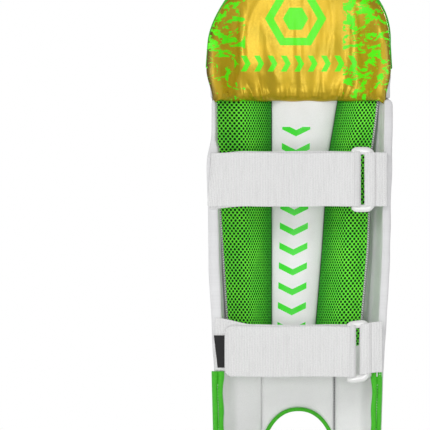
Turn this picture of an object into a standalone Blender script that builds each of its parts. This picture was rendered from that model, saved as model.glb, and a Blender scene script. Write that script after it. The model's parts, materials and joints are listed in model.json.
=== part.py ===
"""Cricket leg pad, standing: a shin section with two straps, and a knee section hinged above it.

Metres. +Z is up, -Y is the open side that the leg goes in, +Y faces the ball.
The origin is on the floor, under the middle of the pad's box.
"""

import math

import bmesh
import bpy
from mathutils import Vector

# Overall outline, seen from behind: half-widths of the pad by height, and the dome on top.
WAIST = ((0.0, 0.109), (0.14, 0.1125), (0.27, 0.1195), (0.42, 0.1225), (0.51, 0.124), (0.566, 0.1205))
DOME_Z = 0.566
DOME_HALF = 0.1205
DOME_RISE = 0.117
DOME_POWER = 1.8
BINDING_RADIUS = 0.0020
EDGE_INSET = 0.0046

# Depth: the inner face of the backing board, its bow across the shin and its lean by height.
INNER_Y = 0.0246
BOW = 1.2
FOOT_LEAN = 0.012
KNEE_LEAN = 0.006
TOP_LEAN = -0.010
BEND_Z = 0.20
BACKING_THICK = 0.004
BACKING_HALF = 0.085
GAP = 0.0004

# Rolls down the front: seams between them, and how far they stand out.
SEAMS = (-0.0840, -0.0525, -0.0178, 0.0178, 0.0525, 0.0840)
ROLL_DEEP = 0.020
ROLL_EDGE = 0.006
SHIN_ROLL_LOW = 0.190
SHIN_ROLL_TOP = 0.470
GROOVE_DEEP = 0.0054
CANE_RADIUS = 0.002
CANE_LOW = 0.212
CANE_TOP = 0.455

# Knee: the crease that the pad folds at, and the pods above and below it.
KNEE_Z = 0.516
KNEE_SPLIT = 0.0015
KNEE_AXIS_Y = 0.0326
KNEE_WEDGE = math.radians(13.5)
POD_DEEP = 0.029
LOWER_POD_LOW = 0.4712
UPPER_POD_TOP = 0.5685

# Wings.
WING_ROOT_X = 0.0892
WING_THICK = 0.010
WING_REAR = ((0.0, -0.036), (0.05, -0.044), (0.12, -0.0505), (0.43, -0.0505), (0.516, -0.040))
KNEE_WING_REAR_Y = -0.022
KNEE_WING_TOP = 0.610

# Instep arch at the bottom.
ARCH_HALF = 0.052
ARCH_RISE = 0.0855
ARCH_POWER = 2.2
INSTEP_THICK = 0.010

# Lining.
LINING_THICK = 0.006
ANKLE_THICK = 0.008
BOLSTER_DEEP = 0.025
BOLSTER_LOW = 0.172
BOLSTER_TOP = 0.491
ANKLE_TOP = 0.1685
LIP_LOW = 0.4945
KNEE_LINING_THICK = 0.013

# Straps: webbing, the rings that it turns round, and the loops that hold the rings.
WEB_THICK = 0.0016
RING_WIRE = 0.0035
RING_SPAN = 0.0225
RING_CORNER = 0.005
RING_Y = -0.0574
WRAP_RADIUS = 0.0056
TAB_WRAP_RADIUS = 0.0048
FLAP_HINGE_GAP = 0.0026
STRAPS = {
    "upper": {"low": 0.353, "high": 0.423, "bar_x": 0.0717, "base_x": -0.117, "end_x": -0.119, "tab_x": 0.1135},
    "lower": {"low": 0.131, "high": 0.197, "bar_x": 0.0655, "base_x": -0.1105, "end_x": -0.099, "tab_x": 0.1075},
}
PATCH_THICK = 0.0008
BINDING_STRIP = 0.004

PARTS = "cricket_leg_pad"
WHITE = ("white_pu", (0.82, 0.82, 0.82), 0.45)
GREY = ("pale_wing_fabric", (0.74, 0.74, 0.75), 0.6)
GOLD = ("gold_satin", (0.58, 0.36, 0.02), 0.4)
MESH = ("green_air_mesh", (0.06, 0.42, 0.03), 0.85)
GREEN = ("green_binding", (0.05, 0.36, 0.03), 0.6)
WEB = ("strap_webbing", (0.74, 0.74, 0.74), 0.8)
PLASTIC = ("ring_plastic", (0.80, 0.80, 0.80), 0.35)
HOOK = ("hook_tape", (0.02, 0.02, 0.02), 0.9)
BOARD = ("backing_board", (0.20, 0.20, 0.21), 0.7)
CANE = ("cane", (0.55, 0.36, 0.15), 0.6)


def clear_scene():
    for old in list(bpy.data.objects):
        bpy.data.objects.remove(old)


def lerp(a, b, t):
    return a + (b - a) * t


def between(points, at):
    """Straight-line value of a short table of (place, value) pairs."""
    for (low, first), (high, second) in zip(points, points[1:]):
        if at <= high:
            return lerp(first, second, (at - low) / (high - low))
    return points[-1][1]


def superellipse(run, width, height, power):
    part = min(abs(run) / width, 1.0)
    return height * (1.0 - part ** power) ** (1.0 / power)


def outline(z):
    """Half-width of the whole pad at a height."""
    if z > DOME_Z:
        return superellipse(z - DOME_Z, DOME_RISE, DOME_HALF, DOME_POWER)
    return between(WAIST, z)


def dome_top(x):
    """Top edge of the knee section inside its binding."""
    return DOME_Z + superellipse(x, DOME_HALF - EDGE_INSET, DOME_RISE - EDGE_INSET, DOME_POWER)


def arch(x):
    return superellipse(x, ARCH_HALF, ARCH_RISE, ARCH_POWER)


def lean(z):
    total = DOME_Z + DOME_RISE
    return between(((0.0, FOOT_LEAN), (BEND_Z, 0.0), (KNEE_Z, KNEE_LEAN), (total, TOP_LEAN)), z)


def inner_y(x, z):
    """Inner face of the backing board."""
    return INNER_Y - BOW * x * x + lean(z)


def front_y(x, z):
    """Outer face of the backing board, with the gap to what lies on it."""
    return inner_y(x, z) + BACKING_THICK + GAP


def rise(v, bottom, top):
    """Height at v from 0 to 1, with v = 0.4 on the bend above the foot."""
    if v < 0.4:
        return lerp(bottom, BEND_Z, v / 0.4)
    return lerp(BEND_Z, top, (v - 0.4) / 0.6)


def rows(low, high, step):
    count = max(1, round((high - low) / step))
    levels = {round(lerp(low, high, i / count), 5) for i in range(count + 1)}
    if low < BEND_Z < high:
        levels = {level for level in levels if abs(level - BEND_Z) > 0.3 * step}
        levels.add(BEND_Z)
    return sorted(levels | {low, high})


def steps(count):
    return [i / count for i in range(count + 1)]


def make_material(kind):
    name, colour, roughness = kind
    if name in bpy.data.materials:
        return bpy.data.materials[name]
    material = bpy.data.materials.new(name)
    material.use_nodes = True
    shader = material.node_tree.nodes["Principled BSDF"]
    shader.inputs["Base Color"].default_value = (*colour, 1.0)
    shader.inputs["Roughness"].default_value = roughness
    shader.inputs["Metallic"].default_value = 0.0
    return material


def collection():
    if PARTS not in bpy.data.collections:
        bpy.context.scene.collection.children.link(bpy.data.collections.new(PARTS))
    return bpy.data.collections[PARTS]


def make_pivot(name, place):
    """An empty on a joint's axis, which the moving pieces hang from."""
    pivot = bpy.data.objects.new(name, None)
    pivot.location = place
    collection().objects.link(pivot)
    return pivot


def add_object(name, data, kind, pivot):
    piece = bpy.data.objects.new(name, data)
    data.materials.append(make_material(kind))
    collection().objects.link(piece)
    if pivot:
        piece.parent = pivot
        piece.location = -pivot.location
    return piece


def add_mesh(name, bm, kind, pivot=None):
    bmesh.ops.recalc_face_normals(bm, faces=bm.faces[:])
    mesh = bpy.data.meshes.new(name)
    bm.to_mesh(mesh)
    bm.free()
    return add_object(name, mesh, kind, pivot)


def trim(bm, point, normal):
    """Cut away the side that the normal points to, and close the cut."""
    geometry = bm.verts[:] + bm.edges[:] + bm.faces[:]
    bmesh.ops.bisect_plane(bm, geom=geometry, dist=1e-6, plane_co=point, plane_no=normal, clear_outer=True)
    rim = [edge for edge in bm.edges if edge.is_boundary]
    bmesh.ops.holes_fill(bm, edges=rim, sides=0)


def trim_for_knee(bm, above):
    """Open a wedge behind the knee axis, so the knee section can tip back over the leg."""
    slope = Vector((0.0, -math.sin(KNEE_WEDGE), math.cos(KNEE_WEDGE)))
    side = -1.0 if above else 1.0
    point = Vector((0.0, KNEE_AXIS_Y, KNEE_Z - side * KNEE_SPLIT * 0.7))
    trim(bm, point, Vector((0.0, slope.y, side * slope.z)))


def pad(name, across, up, place, depth, kind, pivot=None, knee=None):
    """A closed pad: a sheet laid on place(u, v), and raised off it by depth(u, v)."""
    bm = bmesh.new()
    columns, levels = len(across) - 1, len(up) - 1
    bmesh.ops.create_grid(bm, x_segments=columns, y_segments=levels, size=1.0)
    cells = {vert: (round((vert.co.x + 1) / 2 * columns), round((vert.co.y + 1) / 2 * levels)) for vert in bm.verts}
    for vert, (column, level) in cells.items():
        vert.co = place(across[column], up[level])
    raised = bmesh.ops.extrude_face_region(bm, geom=bm.faces[:], use_keep_orig=True)
    sheet = {tuple(vert.co): cell for vert, cell in cells.items()}
    for vert in [item for item in raised["geom"] if isinstance(item, bmesh.types.BMVert)]:
        column, level = sheet[tuple(vert.co)]
        vert.co += Vector(depth(across[column], up[level]))
    if knee is not None:
        trim_for_knee(bm, knee)
    return add_mesh(name, bm, kind, pivot)


def crown(u):
    return math.sqrt(max(0.0, 1.0 - (2.0 * u - 1.0) ** 2))


def ends(z, low, high, reach):
    """1 along a pad's length, falling to 0.35 where it rounds off at its ends."""
    near = min(z - low, high - z, reach) / reach
    return lerp(0.35, 1.0, math.sin(near * math.pi / 2))


def roll(name, index, low, high, deep, round_low, round_high, pivot=None, groove=False, knee=None):
    """One padded roll or pod between two seams of the front."""
    left = SEAMS[index] + GAP
    right = SEAMS[index + 1] - GAP
    reach = 0.012

    def place(u, z):
        x = lerp(left, right, u)
        cut = GROOVE_DEEP if groove and u == 0.5 else 0.0
        return (x, front_y(x, z) + cut, z)

    def depth(u, z):
        start = low if round_low else low - reach
        stop = high if round_high else high + reach
        swell = lerp(ROLL_EDGE, deep, crown(u)) * ends(z, start, stop, reach)
        return (0.0, swell - (GROOVE_DEEP if groove and u == 0.5 else 0.0), 0.0)

    levels = rows(low + reach, high - reach, 0.075)
    levels = sorted({low, high, *levels})
    return pad(name, steps(4), levels, place, depth, WHITE, pivot, knee)


def build_backing(knee_pivot):
    across = (-0.085, -0.068, -0.052, -0.050, -0.044, -0.034, -0.018, 0.0)
    across += tuple(-x for x in reversed(across[:-1]))

    def shin(x, v):
        z = rise(v, arch(x), KNEE_Z - KNEE_SPLIT)
        return (x, inner_y(x, z), z)

    def top(x, v):
        z = lerp(KNEE_Z + KNEE_SPLIT, dome_top(x), v)
        return (x, inner_y(x, z), z)

    def thick(x, v):
        return (0.0, BACKING_THICK, 0.0)

    pad("shin_backing", across, (0.0, 0.4, 0.7, 1.0), shin, thick, BOARD, None, False)
    upper = (-0.085, -0.068, -0.034, 0.0, 0.034, 0.068, 0.085)
    pad("knee_backing", upper, (0.0, 0.5, 1.0), top, thick, BOARD, knee_pivot, True)


def build_rolls(knee_pivot):
    for index in range(5):
        number = index + 1
        outer = index in (0, 4)
        low = 0.0 if outer else SHIN_ROLL_LOW
        roll(f"shin_roll_{number}", index, low, SHIN_ROLL_TOP, ROLL_DEEP, not outer, True, groove=True)
        roll(f"lower_knee_pod_{number}", index, LOWER_POD_LOW, KNEE_Z - 0.0005, POD_DEEP, True, True, knee=False)
        roll(
            f"upper_knee_pod_{number}", index, KNEE_Z + 0.0005, UPPER_POD_TOP, POD_DEEP, True, True, knee_pivot, knee=True
        )
        middle = 0.5 * (SEAMS[index] + SEAMS[index + 1])
        rim = max(abs(SEAMS[index]), abs(SEAMS[index + 1]))
        top = min(dome_top(rim), dome_top(middle)) - 0.001
        roll(f"top_roll_{number}", index, UPPER_POD_TOP + GAP, top, ROLL_DEEP, False, True, knee_pivot)


def build_canes():
    """Split canes in the grooves behind the shin rolls."""
    for index in range(5):
        x = 0.5 * (SEAMS[index] + SEAMS[index + 1])
        lift = CANE_RADIUS + 0.0004
        foot = Vector((x, front_y(x, CANE_LOW) + lift, CANE_LOW))
        head = Vector((x, front_y(x, CANE_TOP) + lift, CANE_TOP))
        axis = head - foot
        bm = bmesh.new()
        bmesh.ops.create_cone(
            bm, cap_ends=True, segments=8, radius1=CANE_RADIUS, radius2=CANE_RADIUS, depth=axis.length
        )
        cane = add_mesh(f"cane_rod_{index + 1}", bm, CANE)
        cane.location = (foot + head) / 2
        cane.rotation_euler = axis.to_track_quat("Z", "Y").to_euler()


def build_instep():
    def place(x, v):
        z = lerp(arch(x), SHIN_ROLL_LOW - 0.003, v)
        return (x, front_y(x, z), z)

    def depth(x, v):
        return (0.0, INSTEP_THICK * (0.6 if v in (0.0, 1.0) else 1.0), 0.0)

    half = (0.0515, 0.050, 0.046, 0.038, 0.026, 0.013)
    across = tuple(-x for x in half) + (0.0,) + tuple(reversed(half))
    pad("instep_panel", across, (0.0, 0.08, 0.9, 1.0), place, depth, WHITE)


def wing_point(t, z, half, rear):
    """Outer face of a right-hand wing in plan, and its inward normal, at t from root to rear edge."""
    root = Vector((WING_ROOT_X, inner_y(WING_ROOT_X, z) + WING_THICK))
    corner = Vector((half - 0.003, root.y - 0.004))
    edge = Vector((half, rear))
    point = root * (1 - t) ** 2 + corner * 2 * t * (1 - t) + edge * t * t
    run = (corner - root) * (1 - t) + (edge - corner) * t
    return point, Vector((run.y, -run.x)).normalized()


def wing_rear(z):
    """Rear edge of the shin wings: deepest between the straps."""
    return between(WING_REAR, z)


def knee_rear(z):
    """Rear edge of the knee wings, which flatten into the dome."""
    flat = inner_y(WING_ROOT_X, z) + 0.003
    part = min(max((z - DOME_Z) / (KNEE_WING_TOP - DOME_Z), 0.0), 1.0)
    return lerp(KNEE_WING_REAR_Y, flat, part * part)


def build_wing(name, side, half_at, rear_at, pivot, knee, levels):
    def spot(t, z, inward):
        point, normal = wing_point(t, z, half_at(z), rear_at(z))
        point = point + normal * inward
        return (side * point.x, point.y, z)

    def place(t, z):
        return spot(t, z, 0.0)

    def depth(t, z):
        thick = WING_THICK * (0.75 if t in (0.0, 1.0) else 1.0)
        return Vector(spot(t, z, thick)) - Vector(spot(t, z, 0.0))

    return pad(name, (0.0, 0.2, 0.4, 0.65, 1.0), levels, place, depth, GREY, pivot, knee)


def build_wings(knee_pivot):
    for label, side in (("left", -1), ("right", 1)):
        build_wing(
            f"wing_{label}", side, outline, wing_rear, None, False,
            (0.0, 0.05, 0.12, BEND_Z, 0.27, 0.35, 0.43, KNEE_Z - KNEE_SPLIT),
        )
        build_wing(
            f"knee_wing_{label}", side, lambda z: outline(z) - EDGE_INSET, knee_rear,
            knee_pivot, True, rows(KNEE_Z + KNEE_SPLIT, KNEE_WING_TOP, 0.024),
        )


def bolster_edges(side, z):
    """Inner and outer edge of a mesh bolster: the pair is shaped to one leg, so they differ."""
    wing = outline(z) - 0.0345
    if side < 0:
        return -0.035, -min(between(((0.17, 0.090), (0.35, 0.1015), (0.49, 0.105)), z), wing)
    inner = between(((0.17, 0.021), (0.20, 0.023), (0.296, 0.031), (0.414, 0.0386), (0.49, 0.053)), z)
    return inner, min(between(((0.17, 0.078), (0.30, 0.089), (0.42, 0.093), (0.49, 0.103)), z), wing)


def build_lining(knee_pivot):
    """Bolsters, the panel between them, the ankle panels and the knee cushion."""
    for label, side in (("left", -1), ("right", 1)):
        def place(u, z, side=side):
            inner, outer = bolster_edges(side, z)
            x = lerp(inner, outer, u)
            return (x, inner_y(x, z) - GAP, z)

        def depth(u, z):
            swell = lerp(0.006, BOLSTER_DEEP, crown(u) ** 0.7) * ends(z, BOLSTER_LOW, BOLSTER_TOP, 0.02)
            return (0.0, -swell, 0.0)

        levels = rows(BOLSTER_LOW + 0.02, BOLSTER_TOP - 0.02, 0.07)
        pad(f"bolster_{label}", (0.0, 0.15, 0.5, 0.85, 1.0), [BOLSTER_LOW, *levels, BOLSTER_TOP], place, depth, MESH)

    def centre(u, z):
        x = lerp(-0.035 + 0.0008, bolster_edges(1, z)[0] - 0.0008, u)
        return (x, inner_y(x, z) - GAP, z)

    def thin(u, z):
        return (0.0, -LINING_THICK, 0.0)

    pad("shin_lining", steps(2), rows(BOLSTER_LOW, BOLSTER_TOP, 0.08), centre, thin, WHITE)

    panels = {
        "ankle_lining_left": (-0.0855, -0.068, -0.0521, -0.0508, -0.0495),
        "ankle_lining_centre": (-0.0485, -0.044, -0.034, -0.018, 0.0, 0.018, 0.034, 0.043, 0.0465),
        "ankle_lining_right": (0.0475, 0.0495, 0.0521, 0.068, 0.0855),
    }

    def ankle(x, v):
        z = lerp(arch(x), ANKLE_TOP, v)
        return (x, inner_y(x, z) - GAP, z)

    def soft(x, v):
        return (0.0, -ANKLE_THICK, 0.0)

    for name, across in panels.items():
        pad(name, across, (0.0, 1.0), ankle, soft, WHITE)

    across = (-1.0, -0.85, -0.7, -0.55, -0.35, 0.0, 0.35, 0.55, 0.7, 0.85, 1.0)

    def inner_path(s, z, half, rear, inward):
        """Inner face of board and wings, s from -1 to 1, with the wings beyond 0.7."""
        side = -1.0 if s < 0 else 1.0
        run = abs(s) / 0.7
        if run <= 1.0:
            x = side * run * (BACKING_HALF - 0.001)
            return Vector((x, inner_y(x, z) - GAP - inward, z))
        point, normal = wing_point((abs(s) - 0.7) / 0.3 * 0.93, z, half, rear)
        point = point + normal * (WING_THICK + 0.002 + inward)
        return Vector((side * point.x, point.y, z))

    def cushion(s, v, inward=0.0):
        x = min(abs(s) / 0.7, 1.0) * BACKING_HALF
        top = min(dome_top(x), KNEE_WING_TOP) if abs(s) > 0.7 else dome_top(x)
        z = lerp(KNEE_Z + KNEE_SPLIT, top - 0.002, v)
        return inner_path(s, z, outline(z) - EDGE_INSET, knee_rear(z), inward)

    def cushion_depth(s, v):
        thick = KNEE_LINING_THICK * (0.5 if v in (0.0, 1.0) or abs(s) == 1.0 else 1.0)
        return cushion(s, v, thick) - cushion(s, v)

    pad("knee_lining", across, (0.0, 0.15, 0.5, 0.85, 1.0), cushion, cushion_depth, GOLD, knee_pivot, True)

    def lip(s, z, inward=0.0):
        return inner_path(s, z, outline(z), wing_rear(z), inward)

    def lip_depth(s, z):
        return lip(s, z, 0.007) - lip(s, z)

    short = (-0.82, -0.7, -0.35, 0.0, 0.35, 0.7, 0.82)
    pad("knee_lining_lip", short, (LIP_LOW, KNEE_Z - KNEE_SPLIT), lip, lip_depth, GOLD, None, False)


def tube(name, points, radius, kind, pivot=None, closed=False):
    curve = bpy.data.curves.new(name, "CURVE")
    curve.dimensions = "3D"
    curve.bevel_depth = radius
    curve.bevel_resolution = 1
    curve.use_fill_caps = not closed
    spline = curve.splines.new("POLY")
    spline.points.add(len(points) - 1)
    for knot, point in zip(spline.points, points):
        knot.co = (*point, 1.0)
    spline.use_cyclic_u = closed
    return add_object(name, curve, kind, pivot)


def build_edges(knee_pivot):
    """Piping round the instep arch, binding over the dome, and binding down the ankle edges."""
    radius = 0.0022
    piping = []
    for step in range(17):
        turn = math.pi * step / 16
        x = -(ARCH_HALF - 0.0005) * math.cos(turn)
        z = max(arch(x), 0.003)
        piping.append((x, inner_y(x, z) - ANKLE_THICK - radius - 0.001, z))
    tube("arch_piping", piping, radius, GREEN)

    binding = []
    for step in range(25):
        turn = math.pi * step / 24
        side = math.cos(turn)
        rise_part = math.sin(turn)
        inset = BINDING_RADIUS + 0.0002
        x = -math.copysign(abs(side) ** (2 / DOME_POWER), side) * (DOME_HALF - inset)
        z = DOME_Z + rise_part ** (2 / DOME_POWER) * (DOME_RISE - inset)
        flat = inner_y(min(abs(x), BACKING_HALF), z) + BACKING_THICK / 2
        part = min(max((abs(x) - BACKING_HALF) / (DOME_HALF - BACKING_HALF), 0.0), 1.0)
        binding.append((x, lerp(flat, KNEE_WING_REAR_Y + 0.003, part), z))
    start = KNEE_Z + 0.016
    first, last = binding[0], binding[-1]
    binding.insert(0, (-(outline(start) - BINDING_RADIUS), first[1], start))
    binding.append((outline(start) - BINDING_RADIUS, last[1], start))
    tube("top_binding", binding, BINDING_RADIUS, GREEN, knee_pivot)

    for label, side in (("left", -1), ("right", 1)):
        def strip(u, z, side=side):
            x = outline(z) - lerp(0.0155, 0.0005, u)
            return (side * x, wing_rear(z) - 0.0006, z)

        def thick(u, z):
            return (0.0, -BINDING_STRIP, 0.0)

        pad(f"ankle_binding_{label}", steps(2), (0.0, 0.05, 0.12, 0.128), strip, thick, GREEN)


def band(name, path, low, high, kind, pivot=None, thick=WEB_THICK):
    """Webbing on edge: a path in plan, as high as the strap is wide."""
    bm = bmesh.new()
    feet = [bm.verts.new((x, y, low)) for x, y in path]
    for first, second in zip(feet, feet[1:]):
        bm.edges.new((first, second))
    raised = bmesh.ops.extrude_edge_only(bm, edges=bm.edges[:])
    tops = [item for item in raised["geom"] if isinstance(item, bmesh.types.BMVert)]
    bmesh.ops.translate(bm, verts=tops, vec=(0.0, 0.0, high - low))
    piece = add_mesh(name, bm, kind, pivot)
    shell = piece.modifiers.new("webbing", "SOLIDIFY")
    shell.thickness = thick
    shell.offset = 0.0
    shell.use_even_offset = True
    return piece


def arc(centre, radius, start, stop, count):
    points = []
    for step in range(count + 1):
        turn = math.radians(lerp(start, stop, step / count))
        points.append((centre[0] + radius * math.cos(turn), centre[1] + radius * math.sin(turn)))
    return points


def build_ring(name, bar_x, middle, tall, pivot):
    """Rounded rectangular ring; its left bar takes the strap and its right bar the sewn loop."""
    across, up = RING_SPAN / 2, tall / 2 - RING_WIRE
    corners = ((1, 1, 0), (-1, 1, 90), (-1, -1, 180), (1, -1, 270))
    points = []
    for side, level, turn in corners:
        centre = (side * (across - RING_CORNER), level * (up - RING_CORNER))
        points += arc(centre, RING_CORNER, turn, turn + 90, 3)
    place = [(bar_x + across + x, RING_Y, middle + z) for x, z in points]
    tube(name, place, RING_WIRE, PLASTIC, pivot, closed=True)


def build_strap(label, size):
    """A strap: sewn to the left wing, turned round its ring, and pressed back onto itself."""
    low, high, bar = size["low"], size["high"], size["bar_x"]
    base_y = RING_Y + WRAP_RADIUS
    back_y = RING_Y - WRAP_RADIUS
    base = [(size["base_x"], base_y), (bar - 0.02, base_y)]
    base += arc((bar, RING_Y), WRAP_RADIUS, 90, -90, 8)
    band(f"{label}_strap_base", base, low, high, WEB)

    patch_y = base_y - WEB_THICK / 2 - PATCH_THICK / 2 - 0.0003
    patch = [(size["base_x"] + 0.0015, patch_y), (size["base_x"] + 0.055, patch_y)]
    band(f"{label}_hook_patch", patch, low + 0.012, high - 0.012, HOOK, None, PATCH_THICK)

    hinge = Vector((bar - 0.0008, back_y, 0.5 * (low + high)))
    flap_pivot = make_pivot(f"{label}_strap_pivot", hinge)
    lie_y = patch_y - PATCH_THICK / 2 - WEB_THICK / 2 - 0.0005
    flap = [(hinge.x - FLAP_HINGE_GAP, back_y), (bar - 0.024, lie_y), (size["end_x"], lie_y)]
    band(f"{label}_strap_flap", flap, low, high, WEB, flap_pivot)

    loop_x = bar + RING_SPAN
    ring_pivot = make_pivot(f"{label}_ring_pivot", Vector((loop_x, RING_Y, 0.5 * (low + high))))
    build_ring(f"{label}_ring", bar, 0.5 * (low + high), high - low + 0.016, ring_pivot)

    tab = [(size["tab_x"], RING_Y - TAB_WRAP_RADIUS)]
    tab += arc((loop_x, RING_Y), TAB_WRAP_RADIUS, 270, 90, 6)
    tab += [(size["tab_x"], RING_Y + TAB_WRAP_RADIUS)]
    band(f"{label}_ring_tab", tab, low, high, WEB)


def main():
    clear_scene()
    knee_pivot = make_pivot("knee_pivot", Vector((0.0, KNEE_AXIS_Y, KNEE_Z)))
    build_backing(knee_pivot)
    build_rolls(knee_pivot)
    build_canes()
    build_instep()
    build_wings(knee_pivot)
    build_lining(knee_pivot)
    build_edges(knee_pivot)
    for label, size in STRAPS.items():
        build_strap(label, size)


main()
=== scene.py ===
"""Looks of a cricket leg pad, seen from the side that the leg goes in."""

import json
import math

import bmesh
import bpy
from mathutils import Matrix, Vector, noise
from mathutils.bvhtree import BVHTree


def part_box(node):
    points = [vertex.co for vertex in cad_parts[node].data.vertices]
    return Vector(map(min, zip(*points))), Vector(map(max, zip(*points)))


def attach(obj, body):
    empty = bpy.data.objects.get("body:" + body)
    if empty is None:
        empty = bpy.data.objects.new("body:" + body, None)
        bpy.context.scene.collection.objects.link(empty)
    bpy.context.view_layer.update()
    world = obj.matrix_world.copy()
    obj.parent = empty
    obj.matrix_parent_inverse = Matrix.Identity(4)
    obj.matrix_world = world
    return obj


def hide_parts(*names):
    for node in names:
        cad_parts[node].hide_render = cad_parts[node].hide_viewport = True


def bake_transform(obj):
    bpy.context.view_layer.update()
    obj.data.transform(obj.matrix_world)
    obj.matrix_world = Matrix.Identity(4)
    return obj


bl_info = {
    "name": "Cricket leg pad",
    "version": (1, 0, 0),
    "blender": (4, 5, 0),
    "location": "3D View > Sidebar > Leg pad",
    "description": "Rolls, wings, lining, straps and bindings of a cricket leg pad",
    "category": "Object",
}

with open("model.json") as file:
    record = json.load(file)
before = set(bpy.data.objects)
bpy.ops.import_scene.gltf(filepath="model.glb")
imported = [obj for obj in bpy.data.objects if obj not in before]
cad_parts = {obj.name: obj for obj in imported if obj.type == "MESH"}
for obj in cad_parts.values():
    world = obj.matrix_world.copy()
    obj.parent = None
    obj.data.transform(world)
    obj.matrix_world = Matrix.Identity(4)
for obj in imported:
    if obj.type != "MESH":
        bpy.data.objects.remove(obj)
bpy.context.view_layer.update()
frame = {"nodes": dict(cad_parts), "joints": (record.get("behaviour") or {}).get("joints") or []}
JOINTS = {joint["name"]: joint for joint in frame["joints"]}
KNEE_Z = JOINTS["knee_flex"]["pos_m"][2]
SHIN, KNEE = "shin_section", "knee_section"
SIDES = (("left", -1), ("right", 1))

DOME_POWER = 1.87
ROOT_X = 0.0850  # where a wing leaves the outer roll
ARCH_HALF = 0.0515
PANEL_LEFT = -0.0352  # seam between the centre panel and the left bolster
RIM_REAR = -0.018  # the top binding's ends, nearest the leg
BINDING_INSET = 0.0022
WING_TOP = 0.5055
KNEE_WING_FOOT = 0.5365
GUSSET_SPAN = (0.4950, 0.5440)
CREASE_SPAN = (0.500, 0.532)
HEM_Z = 0.4918  # lower seam of the knee cushion
ANKLE_TOP = 0.186
BOLSTER_SPAN = (0.168, 0.4980)
PANEL_SPAN = (0.150, 0.4990)
ANKLE_SEAMS = (-0.0484, 0.0474)
POD_WIDEN = 1.03
MESH_ROW = 0.00118  # between a bolster's rows of vertices: about a sixth of the mesh's pitch up
SEAM_STITCH = 0.0040
HOOK_PROUD = 0.0007

# Pairs of height and value. WAIST is the pad's half-width from behind, up to the dome.
WAIST = ((0.0, 0.109), (0.14, 0.1125), (0.27, 0.1195), (0.42, 0.1225), (0.51, 0.124), (0.566, 0.1205))
WING_REAR = ((0.0, -0.036), (0.05, -0.044), (0.12, -0.0505), (0.43, -0.0505), (0.516, -0.040))
BOLSTER_LEFT = ((0.15, 0.089), (0.20, 0.0925), (0.35, 0.1020), (0.43, 0.1060), (0.50, 0.1080))
BOLSTER_RIGHT = ((0.15, 0.078), (0.20, 0.081), (0.30, 0.0895), (0.42, 0.0935), (0.50, 0.104))
CENTRE_RIGHT = ((0.15, 0.020), (0.20, 0.023), (0.296, 0.031), (0.414, 0.0386), (0.50, 0.053))


# ---------------------------------------------------------------- settings


def size(name, about, default):
    return bpy.props.FloatProperty(name=name, description=about, default=default, subtype="DISTANCE")


def tone(name, about, *rgb):
    return bpy.props.FloatVectorProperty(name=name, description=about, default=rgb, subtype="COLOR", size=3)


class PadShapeSettings(bpy.types.PropertyGroup):
    """Sizes of the pad's layers."""

    board_y: size("Board depth", "Inner face of the backing board at the middle", 0.0246)
    board_thick: size("Board thickness", "Thickness of the backing board", 0.0044)
    bow: bpy.props.FloatProperty(name="Bow", description="How strongly the pad wraps the shin", default=1.2)
    bend_z: size("Ankle bend", "Height where the foot of the pad kicks forward", 0.20)
    dome_z: size("Dome base", "Height where the rounded top begins", 0.566)
    dome_rise: size("Dome rise", "Height of the rounded top", 0.117)
    dome_half: size("Dome half-width", "Half-width where the rounded top begins", 0.1205)
    roll_deep: size("Roll depth", "How far a roll stands out", 0.0195)
    pod_deep: size("Pod depth", "How far a knee pod stands out", 0.0285)
    bolster_deep: size("Bolster depth", "How far a mesh bolster stands out", 0.0245)
    cushion_deep: size("Knee cushion depth", "Thickness of the satin knee cushion", 0.0165)
    wing_thick: size("Wing thickness", "Thickness of a side wing", 0.0105)
    web_thick: size("Webbing thickness", "Thickness of the strap webbing", 0.0016)


class PadDetailSettings(bpy.types.PropertyGroup):
    """Pitches of ribs, holes and prints."""

    rib_pitch: size("Rib pitch", "Distance between the webbing's ribs", 0.0021)
    hole_across: size("Mesh pitch across", "Distance between holes in a row", 0.0056)
    hole_up: size("Mesh pitch up", "Distance between like rows of holes", 0.0069)
    chevron_pitch: size("Chevron pitch", "Distance between the printed chevrons", 0.0262)


class PadColourSettings(bpy.types.PropertyGroup):
    """Colours of the pad's finishes."""

    white: tone("White", "Facing leather", 0.80, 0.80, 0.80)
    wing: tone("Wing", "Wing fabric", 0.745, 0.745, 0.755)
    lining: tone("Lining", "Lining leather", 0.96, 0.955, 0.96)
    panel_green: tone("Panel green", "Chevrons on the centre panel", 0.03, 0.80, 0.008)
    gold: tone("Gold", "Satin of the knee cushion", 0.59, 0.385, 0.010)
    print_green: tone("Print green", "Printed green", 0.10, 0.90, 0.0)
    mesh_green: tone("Mesh green", "Air mesh", 0.12, 0.92, 0.036)
    binding_green: tone("Binding green", "Binding tape and piping", 0.07, 0.56, 0.025)
    webbing: tone("Webbing", "Strap webbing", 0.77, 0.77, 0.77)


def shape():
    return bpy.context.scene.pad_shape


def detail():
    return bpy.context.scene.pad_detail


def colour(name):
    return (*getattr(bpy.context.scene.pad_colour, name), 1.0)


def shade(tint, share, most=1.0):
    """A tint times a share, as an opaque colour."""
    return (*(min(part * share, most) for part in tint[:3]), 1.0)


# ---------------------------------------------------------------- the pad's own surfaces


def lerp(a, b, t):
    return a + (b - a) * t


def part_way(low, high, value):
    return min(max((value - low) / (high - low), 0.0), 1.0)


def ease(low, high, value):
    t = part_way(low, high, value)
    return t * t * (3 - 2 * t)


def ridge(value, centre, width):
    return math.exp(-(((value - centre) / width) ** 2))


def crown(u, power, root):
    """Round height across a span: 1 in the middle and 0 at u = 0 and u = 1."""
    return (1 - abs(2 * u - 1) ** power) ** root


def uneven(x, y, z):
    return noise.noise(Vector((x, y, z)))


def between(points, at):
    for (low, first), (high, second) in zip(points, points[1:]):
        if at <= high:
            return lerp(first, second, (at - low) / (high - low))
    return points[-1][1]


def superellipse(run, width, height, power):
    return height * (1.0 - min(abs(run) / width, 1.0) ** power) ** (1.0 / power)


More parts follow.
